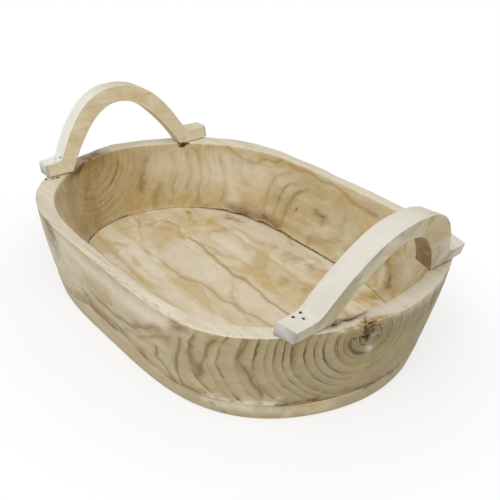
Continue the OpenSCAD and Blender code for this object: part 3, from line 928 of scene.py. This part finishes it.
class Nodes:
    """Short calls for placing shader nodes in one tree: most return the socket that they make."""

    def __init__(self, tree):
        self.tree = tree

    def put(self, kind, settings=(), **inputs):
        """A node with its settings and inputs, where an input is a value or another node's socket."""
        node = self.tree.nodes.new("ShaderNode" + kind)
        for name, value in dict(settings).items():
            setattr(node, name, value)
        self.fill(node, **inputs)
        return node

    def fill(self, node, **inputs):
        """Links or sets a node's inputs, each named with _ for a space."""
        for name, value in inputs.items():
            self.join(node.inputs[name.replace("_", " ")], value)

    def feed(self, sockets, *values):
        """Links or sets several sockets in turn."""
        for socket, value in zip(sockets, values):
            self.join(socket, value)

    def join(self, socket, value):
        """Links a socket to another, or sets its value."""
        if isinstance(value, bpy.types.NodeSocket):
            self.tree.links.new(value, socket)
        else:
            socket.default_value = value

    def math(self, operation, *values, clamp=False):
        """A sum, product or other step on numbers."""
        node = self.put("Math", {"operation": operation, "use_clamp": clamp})
        self.feed(node.inputs, *values)
        return node.outputs[0]

    def times(self, a, b):
        """A product."""
        return self.math("MULTIPLY", a, b)

    def less(self, a, b):
        """A difference."""
        return self.math("SUBTRACT", a, b)

    def line(self, value, slope, start, clamp=False):
        """A straight line: the value times the slope, added to the start."""
        return self.math("MULTIPLY_ADD", value, slope, start, clamp=clamp)

    def scaled(self, place, shares):
        """A place with each of its three ways taken by a share."""
        node = self.put("VectorMath", {"operation": "MULTIPLY"})
        self.feed(node.inputs, place, shares)
        return node.outputs[0]

    def drawn_out(self, place, share):
        """A place squeezed along X by a share, so that noise laid on it is drawn out along X."""
        return self.scaled(place, (share, 1.0, 1.0))

    def length(self, place, shares):
        """How far a place lies from the middle, with each of its three ways taken by a share."""
        node = self.put("VectorMath", {"operation": "LENGTH"}, Vector=self.scaled(place, shares))
        return node.outputs["Value"]

    def blend(self, share, a, b, way="MIX"):
        """One colour over another by a share."""
        node = self.put("Mix", {"data_type": "RGBA", "blend_type": way, "clamp_result": False})
        self.feed((node.inputs[0], node.inputs[6], node.inputs[7]), share, a, b)
        return node.outputs[2]

    def coated(self, colour, mask, share, paint):
        """A paint laid over a colour by a share of a mask."""
        return self.blend(self.times(mask, share), colour, paint)

    def smooth(self, value, low, high, to_low=0.0, to_high=1.0):
        """An S curve from one value to another."""
        node = self.put("MapRange", {"interpolation_type": "SMOOTHSTEP"}, Value=value)
        self.feed(node.inputs[1:5], low, high, to_low, to_high)
        return node.outputs[0]

    def noise(self, place, scale, detail, roughness, distortion=0.0):
        """Cloudy noise from 0 to 1."""
        node = self.put("TexNoise", {"noise_dimensions": "3D"}, Vector=place, Scale=scale, Detail=detail,
                        Roughness=roughness, Distortion=distortion)
        return node.outputs[0]

    def row_noise(self, along_row, scale, detail):
        """Noise from 0 to 1 along a single number."""
        settings = {"noise_dimensions": "1D"}
        return self.put("TexNoise", settings, W=along_row, Scale=scale, Detail=detail).outputs[0]

    def object_place(self):
        """The place in the piece's own coordinates."""
        return self.put("TexCoord").outputs["Object"]

    def mark(self, name):
        """A mark that the mesh carries, from 0 to 1."""
        return self.put("Attribute", {"attribute_name": name}).outputs["Fac"]

    def group(self, group, **inputs):
        """A shared effect, with its own values."""
        return self.put("Group", {"node_tree": group}, **inputs).outputs


def shared_effect(name, inputs, outputs):
    """A new node group: its tree with short calls, its input sockets by name and its output sockets."""
    tree = bpy.data.node_groups.new(name, "ShaderNodeTree")
    for socket, kind in inputs.items():
        tree.interface.new_socket(socket, in_out="INPUT", socket_type="NodeSocket" + kind)
    for socket in outputs:
        tree.interface.new_socket(socket, in_out="OUTPUT", socket_type="NodeSocketFloat")
    return Nodes(tree), tree.nodes.new("NodeGroupInput").outputs, tree.nodes.new("NodeGroupOutput").inputs


# Shares by which a place is squeezed along the grain
SWAY_DRAW = 0.45
FIBRE_DRAW = 0.035
PORE_DRAW = 0.12
STREAK_DRAW = 0.08
PATCH_DRAW = 0.42

# The rings' waver, seasons and wear
WAVER_GROWTH = (20.0, 0.5)
RIPPLE_PACE = 7.0
RIPPLE_SHARE = 0.26
SEASON_PACE = 0.37
SEASON_SWING = 2.2
RING_WEAR = 34.0
CHANCE_POWER = 1.6


def growth_rings():
    """Rings round a pith that lies on X: late wood darkens slowly out to each ring's edge and stops short.

    The ring count is the radius plus a waver that grows outwards, over the ring's width, with good and bad
    seasons added. Its fraction gives the late wood, and its whole part gives each ring its own strength."""
    n, given, result = shared_effect(
        "growth rings", {"Place": "Vector", "Width": "Float", "Waver": "Float", "Wander": "Float"},
        ["Late", "Line", "Band", "Strength"])
    place, wander = given["Place"], given["Wander"]
    slow = n.drawn_out(place, SWAY_DRAW)
    sway = n.less(n.noise(slow, wander, detail=2.0, roughness=0.5, distortion=0.6), 0.5)
    ripple = n.less(n.noise(slow, n.times(wander, RIPPLE_PACE), detail=3.0, roughness=0.55), 0.5)
    sway = n.math("ADD", sway, n.times(ripple, RIPPLE_SHARE))
    radius = n.length(place, (0.0, 1.0, 1.0))
    growth = n.times(given["Waver"], n.line(radius, *WAVER_GROWTH))
    count = n.math("DIVIDE", n.line(sway, growth, radius), given["Width"])
    count = n.line(n.row_noise(count, SEASON_PACE, detail=1.0), SEASON_SWING, count)
    part = n.math("FRACT", count)
    fall = n.smooth(part, 0.93, 1.0, 1.0, 0.0)
    worn = n.smooth(n.noise(place, RING_WEAR, detail=4.0, roughness=0.65), 0.38, 0.62, 0.12, 1.0)
    line = n.times(n.smooth(part, 0.6, 0.9), fall)
    band = n.times(n.smooth(part, 0.3, 0.75), n.smooth(part, 0.75, 1.0, 1.0, 0.0))
    chance = n.put("TexWhiteNoise", {"noise_dimensions": "1D"}, W=n.math("FLOOR", count)).outputs[0]
    n.join(result["Late"], n.times(n.smooth(part, 0.1, 0.95), fall))
    n.join(result["Line"], n.times(line, worn))
    n.join(result["Band"], n.times(band, worn))
    n.join(result["Strength"], n.math("POWER", chance, CHANCE_POWER))
    return n.tree


def wood_fibre():
    """Fibres, pores and streaks: noise on a place that is squeezed along the grain."""
    n, given, result = shared_effect("wood fibre", {"Place": "Vector", "Fineness": "Float"},
                                     ["Fibre", "Pores", "Streak"])
    place, fineness = given["Place"], given["Fineness"]
    fibre = n.noise(n.drawn_out(place, FIBRE_DRAW), fineness, detail=4.0, roughness=0.65)
    pores = n.noise(n.drawn_out(place, PORE_DRAW), n.times(fineness, 1.6), detail=1.0, roughness=0.5)
    streak = n.noise(n.drawn_out(place, STREAK_DRAW), n.times(fineness, 0.16), detail=3.0, roughness=0.55)
    n.join(result["Fibre"], fibre)
    n.join(result["Pores"], n.smooth(pores, 0.62, 0.74))
    n.join(result["Streak"], streak)
    return n.tree


def clouding():
    """Uneven colour: broad and small soft blotches, long patches with a clear border, and specks."""
    n, given, result = shared_effect("clouding", {"Place": "Vector", "Scale": "Float"},
                                     ["Broad", "Small", "Patch", "Speck"])
    place, scale = given["Place"], given["Scale"]
    drawn = n.drawn_out(place, PATCH_DRAW)
    patch = n.noise(drawn, n.times(scale, 1.7), detail=5.0, roughness=0.62, distortion=1.4)
    n.join(result["Broad"], n.noise(place, scale, detail=4.0, roughness=0.6, distortion=1.2))
    n.join(result["Small"], n.noise(place, n.times(scale, 6.0), detail=4.0, roughness=0.6))
    n.join(result["Patch"], n.smooth(patch, 0.5, 0.58))
    n.join(result["Speck"], n.noise(place, n.times(scale, 22.0), detail=3.0, roughness=0.6))
    return n.tree


RINGS = growth_rings()
FIBRE = wood_fibre()
CLOUDS = clouding()

STRAW = tone(220, 208, 180)
STRAW_DEEP = tone(208, 190, 150)
WEATHERED = tone(206, 196, 170)
WEATHERED_DEEP = tone(192, 179, 144)
END_WOOD = tone(161, 148, 113)
HOLLOW_END = tone(190, 166, 120)
BOARD_END = tone(180, 167, 135)
END_LATE = tone(140, 125, 86)
LATE_WOOD = tone(106, 88, 54)
HOLLOW_LATE = tone(138, 110, 60)
FIGURE_OLIVE = tone(160, 130, 62)
FIGURE_BROWN = tone(126, 103, 62)
TAN_PATCH = tone(190, 163, 106)
# Brown of knots and stains, also used for painted shade under the near handle
KNOT_AND_SHADE_BROWN = tone(140, 106, 56)
RESIN_GOLD = tone(194, 162, 82)
# Black of old bark, cracks and stains, also used for painted shade where the handles meet the rim
BARK_AND_SHADE_BLACK = tone(58, 38, 8)
# Filler's pale tone, also used for painted light on the near end's rim
FILLER_AND_PAINTED_LIGHT = tone(238, 229, 210)
CREAM = tone(230, 220, 200)
HANDLE_END = tone(160, 160, 157)
HANDLE_LATE = tone(166, 148, 106)
# Each handle's face, deeper face and top tones: the whiter top and the yellower faces are partly sanding and
# partly painted light
NEAR_TONES = (tone(218, 210, 188), tone(180, 170, 137), tone(225, 221, 213))
FAR_TONES = (tone(228, 217, 188), tone(216, 202, 164), tone(240, 240, 233))
DARK_STEEL = tone(70, 66, 62)
RUST = tone(84, 52, 30)

# How marks and fibres are laid on every wood
LINE_WAVER = 0.5
LINE_BORDER = (0.62, 0.9)
LINE_SHARE = 0.5
HALO_SHARE = 0.4
STREAK_BORDER = (0.3, 0.75)
WASH_BORDER = (0.35, 0.65)
SPOT_BORDER = (0.2, 0.85)
SPOT_START = (0.02, 0.2)
FIBRE_HEIGHT = 0.5
FIBRE_SPREAD = (0.2, 0.8)
WOOD_SHINE = 0.25
WOOD_BUMP = (0.55, 0.6 * MM)
HEART = (4 * MM, 28 * MM)
CHECK_PACE = 5.0
CHECK_BEND = 1.2
RUST_SCALE = 900.0
PITTING_SCALE = 2600.0
MARK_PAINTS = {"gold": RESIN_GOLD, "brown": KNOT_AND_SHADE_BROWN, "pale": FILLER_AND_PAINTED_LIGHT, "filled": FILLER_AND_PAINTED_LIGHT}


class Finish(Nodes):
    """A new material, with short calls for its tree and its one surface shader."""

    def __init__(self, name):
        self.material = bpy.data.materials.new(name)
        self.material.use_nodes = True
        super().__init__(self.material.node_tree)
        self.shader = self.tree.nodes["Principled BSDF"]

    def bumped(self, height, strength, depth):
        """A bump of the surface from a height."""
        return self.put("Bump", Height=height, Strength=strength, Distance=depth).outputs[0]


class Wood(Finish):
    """A wood with its rings, fibres and clouds, laid on Object coordinates whose pith is brought to X."""

    def __init__(self, name, pith, turn, ring_width, waver, wander, fineness, cloud_scale):
        super().__init__(name)
        laid = self.put("Mapping", {"vector_type": "TEXTURE"}, Vector=self.object_place(), Location=pith,
                        Rotation=turn)
        self.place = laid.outputs[0]
        self.rings = self.group(RINGS, Place=self.place, Width=ring_width, Waver=waver, Wander=wander)
        self.fibre = self.group(FIBRE, Place=self.place, Fineness=fineness)
        self.clouds = self.group(CLOUDS, Place=self.place, Scale=cloud_scale)

    def lined(self, colour, paint):
        """Figure lines: a narrow line of wavering width where a traced line is near, in a faint halo."""
        close = self.mark("figure")
        wavering = self.line(self.less(self.clouds["Small"], 0.5), LINE_WAVER, close)
        share = self.times(self.smooth(wavering, *LINE_BORDER), LINE_SHARE)
        share = self.line(self.smooth(close, 0.0, 1.0), HALO_SHARE, share)
        return self.coated(colour, share, self.mark("figure_depth"), paint)

    def streaked(self, colour, light, dark, pores, paint):
        """Light and dark streaks along the grain, and pores as short dark dashes."""
        shade = self.smooth(self.fibre["Streak"], *STREAK_BORDER, light, dark)
        colour = self.blend(1.0, colour, shade, "MULTIPLY")
        return self.coated(colour, self.fibre["Pores"], pores, paint)

    def washed(self, colour, leasts):
        """Marks laid softly over the wood, each thinned to its least share where the noise is low."""
        for name, least in leasts.items():
            thin = self.smooth(self.clouds["Small"], *WASH_BORDER, least, 1.0)
            colour = self.coated(colour, self.mark(name), thin, MARK_PAINTS[name])
        return colour

    def spotted(self, colour, reach):
        """Black marks laid over the wood, their borders broken up by specks."""
        black = self.mark("black")
        broken = self.times(self.less(self.clouds["Speck"], 0.5), reach)
        share = self.smooth(self.math("ADD", black, broken), *SPOT_BORDER)
        return self.coated(colour, share, self.smooth(black, *SPOT_START), BARK_AND_SHADE_BLACK)

    def finished(self, colour, late, ring_depth, pore_depth, smoothest, roughest):
        """The material, with its colour, and roughness and bump from its fibres, late wood and pores."""
        fibre = self.fibre["Fibre"]
        height = self.line(fibre, FIBRE_HEIGHT, self.times(late, -ring_depth))
        height = self.less(height, self.times(self.fibre["Pores"], pore_depth))
        self.fill(self.shader, Base_Color=colour, Specular_IOR_Level=WOOD_SHINE,
                  Roughness=self.smooth(fibre, *FIBRE_SPREAD, smoothest, roughest),
                  Normal=self.bumped(height, *WOOD_BUMP))
        return self.material


def heart_checks(w):
    """Fine splits that run out from the pith: noise on the angle round it, bent by other noise."""
    parts = w.put("SeparateXYZ", Vector=w.place).outputs
    turn = w.line(w.clouds["Small"], CHECK_BEND, w.math("ARCTAN2", parts[2], parts[1]))
    return w.smooth(w.row_noise(turn, CHECK_PACE, detail=2.0), 0.56, 0.66)


def wall_ground(w, end, inside, planed):
    """The wall's colours before its rings: long and end grain on both skins, cream rim, tan patches."""
    shade = w.smooth(w.clouds["Broad"], 0.35, 0.68)
    outside = w.blend(shade, WEATHERED, WEATHERED_DEEP)
    colour = w.blend(inside, outside, w.blend(shade, STRAW, STRAW_DEEP))
    end_share = w.math("POWER", end, w.line(inside, 1.6, 1.0))
    colour = w.coated(colour, end_share, 0.8, w.blend(inside, END_WOOD, HOLLOW_END))
    colour = w.coated(colour, planed, 0.85, CREAM)
    patch = w.times(w.clouds["Patch"], w.line(planed, -0.3, w.line(inside, 0.15, 0.3)))
    return w.blend(patch, colour, TAN_PATCH)


def wall_rings(w, end, inside, planed, heart, cut_end):
    """How much soft and how much sharp late wood shows: clearest on the cut ends, faint on the rim."""
    ringed = w.mark("ringed")
    line = w.rings["Line"]
    line = w.line(w.smooth(inside, 0.0, 1.0, 0.0, 0.85), w.less(w.rings["Band"], line), line)
    least = w.line(w.times(ringed, end), 0.3, 0.1)
    line = w.times(line, w.line(w.rings["Strength"], 0.95, least))
    faded = w.times(w.smooth(w.clouds["Broad"], 0.38, 0.6, 0.2, 0.8), w.smooth(end, 0.45, 0.92, 0.15, 1.0))
    line = w.times(line, w.line(inside, w.less(faded, 1.0), 1.0))
    line = w.times(line, w.line(end, w.line(ringed, 1.6, -0.65), 1.0))
    fine = w.group(RINGS, Place=w.place, Width=1.9 * MM, Waver=1.6 * MM, Wander=22.0)
    fine_share = w.math("ADD", w.line(heart, 0.7, 0.12), w.times(w.mark("grooved"), 1.3))
    fine_share = w.times(fine_share, w.line(inside, -0.8, 1.0))
    late = w.math("ADD", line, w.times(fine["Line"], w.times(end, fine_share)))
    late = w.line(w.times(heart, end), 0.3, late, clamp=True)
    off_rim = w.line(planed, -0.82, 1.0)
    soft = w.times(w.rings["Late"], w.line(inside, -0.15, 0.45))
    soft = w.times(w.times(soft, off_rim), w.line(cut_end, w.line(ringed, 0.85, -0.7), 1.0))
    return soft, w.times(late, off_rim)


def wall_wood():
    """Block of pale wood with its pith under the rim: rings on the ends, long figure on the sides."""
    w = Wood("carved straw wood", pith=(0, -26.9 * MM, 74.2 * MM), turn=(0, 0.0216, 0.0404),
             ring_width=5.7 * MM, waver=4.2 * MM, wander=15.0, fineness=950.0, cloud_scale=16.0)
    end, inside, planed = w.mark("end_grain"), w.mark("hollow"), w.mark("planed")
    heart = w.smooth(w.length(w.place, (0.0, 1.0, 1.0)), *HEART, 1.0, 0.0)
    cut_end = w.times(end, w.less(1.0, inside))
    soft, late = wall_rings(w, end, inside, planed, heart, cut_end)
    colour = wall_ground(w, end, inside, planed)
    colour = w.blend(soft, colour, w.blend(cut_end, TAN_PATCH, END_LATE))
    colour = w.blend(late, colour, w.blend(inside, LATE_WOOD, HOLLOW_LATE))
    colour = w.lined(colour, w.blend(inside, FIGURE_BROWN, FIGURE_OLIVE))
    colour = w.streaked(colour, light=1.04, dark=0.9, pores=0.2, paint=LATE_WOOD)
    split = w.times(heart_checks(w), w.times(heart, end))
    colour = w.coated(colour, split, 0.8, KNOT_AND_SHADE_BROWN)
    colour = w.washed(colour, {"gold": 0.35, "brown": 0.6, "pale": 0.8, "filled": 0.1})
    colour = w.spotted(colour, reach=0.7)
    return w.finished(colour, late, ring_depth=0.35, pore_depth=0.4, smoothest=0.6, roughest=0.82)


def board_wood(name, pith, turn, ring_width):
    """Sawn base board: long wavering lines on the floor, with a golden edge to each ring."""
    w = Wood(name, pith, (0, 0, turn), ring_width, waver=9 * MM, wander=9.0, fineness=900.0,
             cloud_scale=15.0)
    colour = w.blend(w.smooth(w.clouds["Broad"], 0.35, 0.65), CREAM, STRAW)
    colour = w.coated(colour, w.mark("end_grain"), 0.9, BOARD_END)
    colour = w.coated(colour, w.clouds["Patch"], 0.45, TAN_PATCH)
    line = w.times(w.rings["Line"], w.line(w.rings["Strength"], 0.4, 0.02))
    late = w.math("ADD", line, w.times(w.rings["Late"], 0.2), clamp=True)
    colour = w.blend(late, colour, RESIN_GOLD)
    colour = w.lined(colour, FIGURE_OLIVE)
    colour = w.streaked(colour, light=1.03, dark=0.94, pores=0.14, paint=LATE_WOOD)
    colour = w.washed(colour, {"gold": 0.6, "brown": 0.45, "pale": 0.4})
    colour = w.spotted(colour, reach=0.5)
    return w.finished(colour, late, ring_depth=0.3, pore_depth=0.35, smoothest=0.58, roughest=0.8)


def handle_wood(name, pith, tones):
    """Pale wood with its grain along the handle: two tones on its faces, nearly white on its top. The white
    top is partly sanding and partly painted light, and so are the yellower faces, which stand partly for
    light bounced off the wood.
    """
    face, face_deep, sanded_and_lit = tones
    w = Wood(name, pith, (0, 0, QUARTER_TURN), ring_width=7.5 * MM, waver=5 * MM, wander=11.0,
             fineness=1000.0, cloud_scale=22.0)
    colour = w.blend(w.smooth(w.clouds["Broad"], 0.35, 0.65), face, face_deep)
    colour = w.coated(colour, w.clouds["Patch"], 0.2, TAN_PATCH)
    line = w.times(w.rings["Line"], w.times(w.rings["Strength"], 0.22))
    late = w.math("ADD", line, w.times(w.rings["Late"], 0.06), clamp=True)
    colour = w.blend(late, colour, HANDLE_LATE)
    colour = w.coated(colour, w.mark("end_grain"), 0.8, HANDLE_END)
    # The whiter top: partly sanding, partly painted light
    colour = w.coated(colour, w.mark("planed"), 0.85, sanded_and_lit)
    colour = w.coated(colour, w.mark("worn"), 0.35, sanded_and_lit)
    colour = w.streaked(colour, light=1.015, dark=0.97, pores=0.1, paint=HANDLE_LATE)
    colour = w.washed(colour, {"gold": 0.35, "brown": 0.5})
    colour = w.spotted(colour, reach=0.4)
    return w.finished(colour, late, ring_depth=0.25, pore_depth=0.3, smoothest=0.6, roughest=0.8)


def brad_steel():
    """Dull dark steel with rust in patches."""
    n = Finish("rusty brad steel")
    place = n.object_place()
    rust = n.smooth(n.noise(place, RUST_SCALE, detail=4.0, roughness=0.6), 0.4, 0.62)
    pitting = n.noise(place, PITTING_SCALE, detail=3.0, roughness=0.6)
    n.fill(n.shader, Base_Color=n.blend(rust, DARK_STEEL, RUST),
           Metallic=n.smooth(rust, 0.0, 1.0, 0.85, 0.1), Roughness=n.smooth(rust, 0.0, 1.0, 0.45, 0.85),
           Normal=n.bumped(pitting, strength=0.4, depth=0.1 * MM))
    return n.material


# Marks on the floor and along the base's edge

RESIN_POOL = on_floor(9, 0.5, (-135, 47), (-114, 42), (-105, 50), (-112, 64))
MIDDLE_FIGURE = [
    on_floor(2.4, 0.55, (-158, 0), (-135, -12), (-109, -20), (-83, -26), (-53, -27), (-25, -24),
             (0, -20), (24, -20), (53, -18), (110, -5)),
    on_floor(1.9, 0.8, (-89, 20), (-60, 17), (-29, 14), (20, 13), (68, 11), (110, 8)),
    on_floor(2.2, 0.5, (-142, 2), (-137, 20), (-115, 23), (-89, 13))]
MIDDLE_GOLD = [
    RESIN_POOL,
    on_floor(4.2, 1, (-140, 52), (-131, 47), (-123, 42)),
    on_floor(2.8, 0.9, (-122, 44), (-111, 43), (-106, 46), (-108, 55), (-111, 62)),
    on_floor(7, 0.7, (-88, 44), (-85, 51), (-84, 60)),
    on_floor(6, 0.8, (-133, 4), (-118, 12), (-98, 14)),
    on_floor(9, 0.55, (-121, -1), (-100, 6), (-92, -12)),
    on_floor(13, 0.65, (0, 36), (51, 38), (110, 32)),
    on_floor(5, 0.25, (-60, -29), (60, -8))]
MIDDLE_BROWN = [on_floor(5, 0.5, (30, 43)), on_floor(6, 0.5, (53, 46)), on_floor(2.2, 0.7, (-137, 53))]
MIDDLE_PALE = [
    on_floor(3.5, 0.6, (-162, -2), (-127, -16), (-92, -25), (-70, -29)),
    ([(158, -72, 9), (170, -55, 9), (176, -38, 9)], 7, 0.5)]
MIDDLE_BLACK = [
    on_floor(1.3, 0.6, (-109, 61)),
    ([(184, -12, 14), (184.5, 2, 14)], 1.6, 0.7),
    ([(183, 13, 14), (179, 30, 14)], 1.6, 0.75)]
FRONT_PALE = [([(124, -106, 12), (146, -92, 12), (160, -70, 12)], 5, 0.75)]
FRONT_BLACK = [([(126, -103, 11), (134, -96, 3)], 2, 0.65), ([(163, -69, 12)], 2.5, 0.4)]
BACK_GOLD = [
    RESIN_POOL,
    on_floor(12, 0.6, (40, 68), (100, 66)),
    on_floor(7, 0.9, (93, 68), (91, 82), (98, 87))]
BACK_BROWN = [
    on_floor(5, 0.9, (-106, 77), (-101, 80), (-91, 82)),
    on_floor(5, 0.5, (-38, 70), (-25, 72)),
    on_floor(6, 0.55, (-8, 74), (7, 75)),
    on_floor(5, 0.55, (24, 77), (36, 80)),
    on_floor(4, 0.6, (90, 78), (96, 84))]

# Making the pieces

bowl_wall(wall_wood())

base_board("floor_board_middle", "middle_base_board",
           board_wood("middle board wood", pith=(0, -3 * MM, -37 * MM), turn=-0.06, ring_width=13 * MM),
           start=-JOINT_Y, finish=JOINT_Y, figure=MIDDLE_FIGURE, brown=MIDDLE_BROWN, gold=MIDDLE_GOLD,
           black=MIDDLE_BLACK, pale=MIDDLE_PALE)
base_board("floor_board_front", "front_base_board",
           board_wood("front board wood", pith=(0, -85 * MM, -55 * MM), turn=0.05, ring_width=10 * MM),
           start=None, finish=-JOINT_Y, black=FRONT_BLACK, pale=FRONT_PALE)
base_board("floor_board_back", "back_base_board",
           board_wood("back board wood", pith=(0, 92 * MM, 75 * MM), turn=-0.03, ring_width=12 * MM),
           start=JOINT_Y, finish=None, gold=BACK_GOLD, brown=BACK_BROWN)

handle(RIGHT_HANDLE, "near_handle", handle_wood("near handle wood", (215 * MM, 0, 20 * MM), NEAR_TONES))
handle(LEFT_HANDLE, "far_handle", handle_wood("far handle wood", (-130 * MM, 0, 30 * MM), FAR_TONES))

steel = brad_steel()
for brad_node in ("right_handle_brads", "left_handle_brads", "base_brads"):
    brad_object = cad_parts[brad_node]
    brad_object.data.materials.clear()
    brad_object.data.materials.append(steel)

# Table, light and camera

TABLE_REACH = 6.0
TABLE_WHITE = (0.9, 0.9, 0.9, 1)
SHADOW_SHAPE = (1.0, 1.35, 0.0)
SHADOW_REACH = (0.20, 0.34)
SHADOW_LEFT = 0.72
WHITE = (1, 1, 1, 1)
SKY = 0.52
KEY_FROM = Vector((0.35, -0.4, 0.85))
KEY_DISTANCE = 1.7
KEY_SIZE = 1.3
KEY_POWER = 15.5
KEY_COLOUR = (1.0, 0.985, 0.96)
VIEW_TARGET = Vector((-0.057346, 0.068963, 0))
VIEW_PLACE = Vector((0.5132, -0.3573, 0.3751))
VIEW_LENS = 59.09
SENSOR = 36
NEAREST_SEEN = 10 * MM


def aimed(thing, place, target):
    """Stands a lamp or a camera at a place, looking at a target."""
    thing.location = place
    thing.rotation_euler = (target - place).to_track_quat("-Z", "Y").to_euler()


def plainly_seen(n):
    """1 on rays from the camera, a reflection or through glass, and 0 on those that only carry light."""
    rays = n.put("LightPath").outputs
    mirrored = n.math("ADD", rays["Is Glossy Ray"], rays["Is Transmission Ray"])
    return n.math("ADD", rays["Is Camera Ray"], mirrored, clamp=True)


def table_top():
    """A wide white sheet just under the bowl, its shadow kept close to the bowl and faded out beyond."""
    corner = np.array([[-1, -1], [1, -1], [1, 1], [-1, 1]]) * TABLE_REACH
    mesh = bpy.data.meshes.new("table_top")
    mesh.from_pydata(np.column_stack([corner, np.zeros(4)]).tolist(), [], [[0, 1, 2, 3]])
    table = added("table_top", mesh)
    n = Finish("white table")
    n.fill(n.shader, Base_Color=TABLE_WHITE, Roughness=0.9, Specular_IOR_Level=0.0)
    away = n.length(n.object_place(), SHADOW_SHAPE)
    share = n.times(plainly_seen(n), n.smooth(away, *SHADOW_REACH, SHADOW_LEFT, 1.0))
    white = n.put("Emission", Color=WHITE, Strength=1.0)
    surface = n.put("MixShader")
    n.feed(surface.inputs, share, n.shader.outputs[0], white.outputs[0])
    n.fill(n.tree.nodes["Material Output"], Surface=surface.outputs[0])
    mesh.materials.append(n.material)


def sky():
    """Even pale light all round, plain white where the camera or a reflection sees it."""
    world = bpy.data.worlds.new("studio")
    world.use_nodes = True
    n = Nodes(world.node_tree)
    n.fill(n.tree.nodes["Background"], Color=WHITE, Strength=n.smooth(plainly_seen(n), 0.0, 1.0, SKY, 1.0))
    bpy.context.scene.world = world


def key_light():
    """One large soft lamp above the front right of the bowl."""
    lamp = bpy.data.lights.new("key", "AREA")
    lamp.shape = "SQUARE"
    lamp.size = KEY_SIZE
    lamp.energy = KEY_POWER
    lamp.color = KEY_COLOUR
    aimed(added("key", lamp), KEY_FROM.normalized() * KEY_DISTANCE, Vector((0, 0, 0)))


def camera():
    """The photograph's point of view."""
    view = bpy.data.cameras.new("view")
    view.sensor_fit = "HORIZONTAL"
    view.sensor_width = SENSOR
    view.lens = VIEW_LENS
    view.clip_start = NEAREST_SEEN
    seer = added("view", view)
    aimed(seer, VIEW_PLACE, VIEW_TARGET)
    bpy.context.scene.camera = seer


table_top()
sky()
key_light()
camera()
bpy.context.scene.view_settings.view_transform = "Standard"
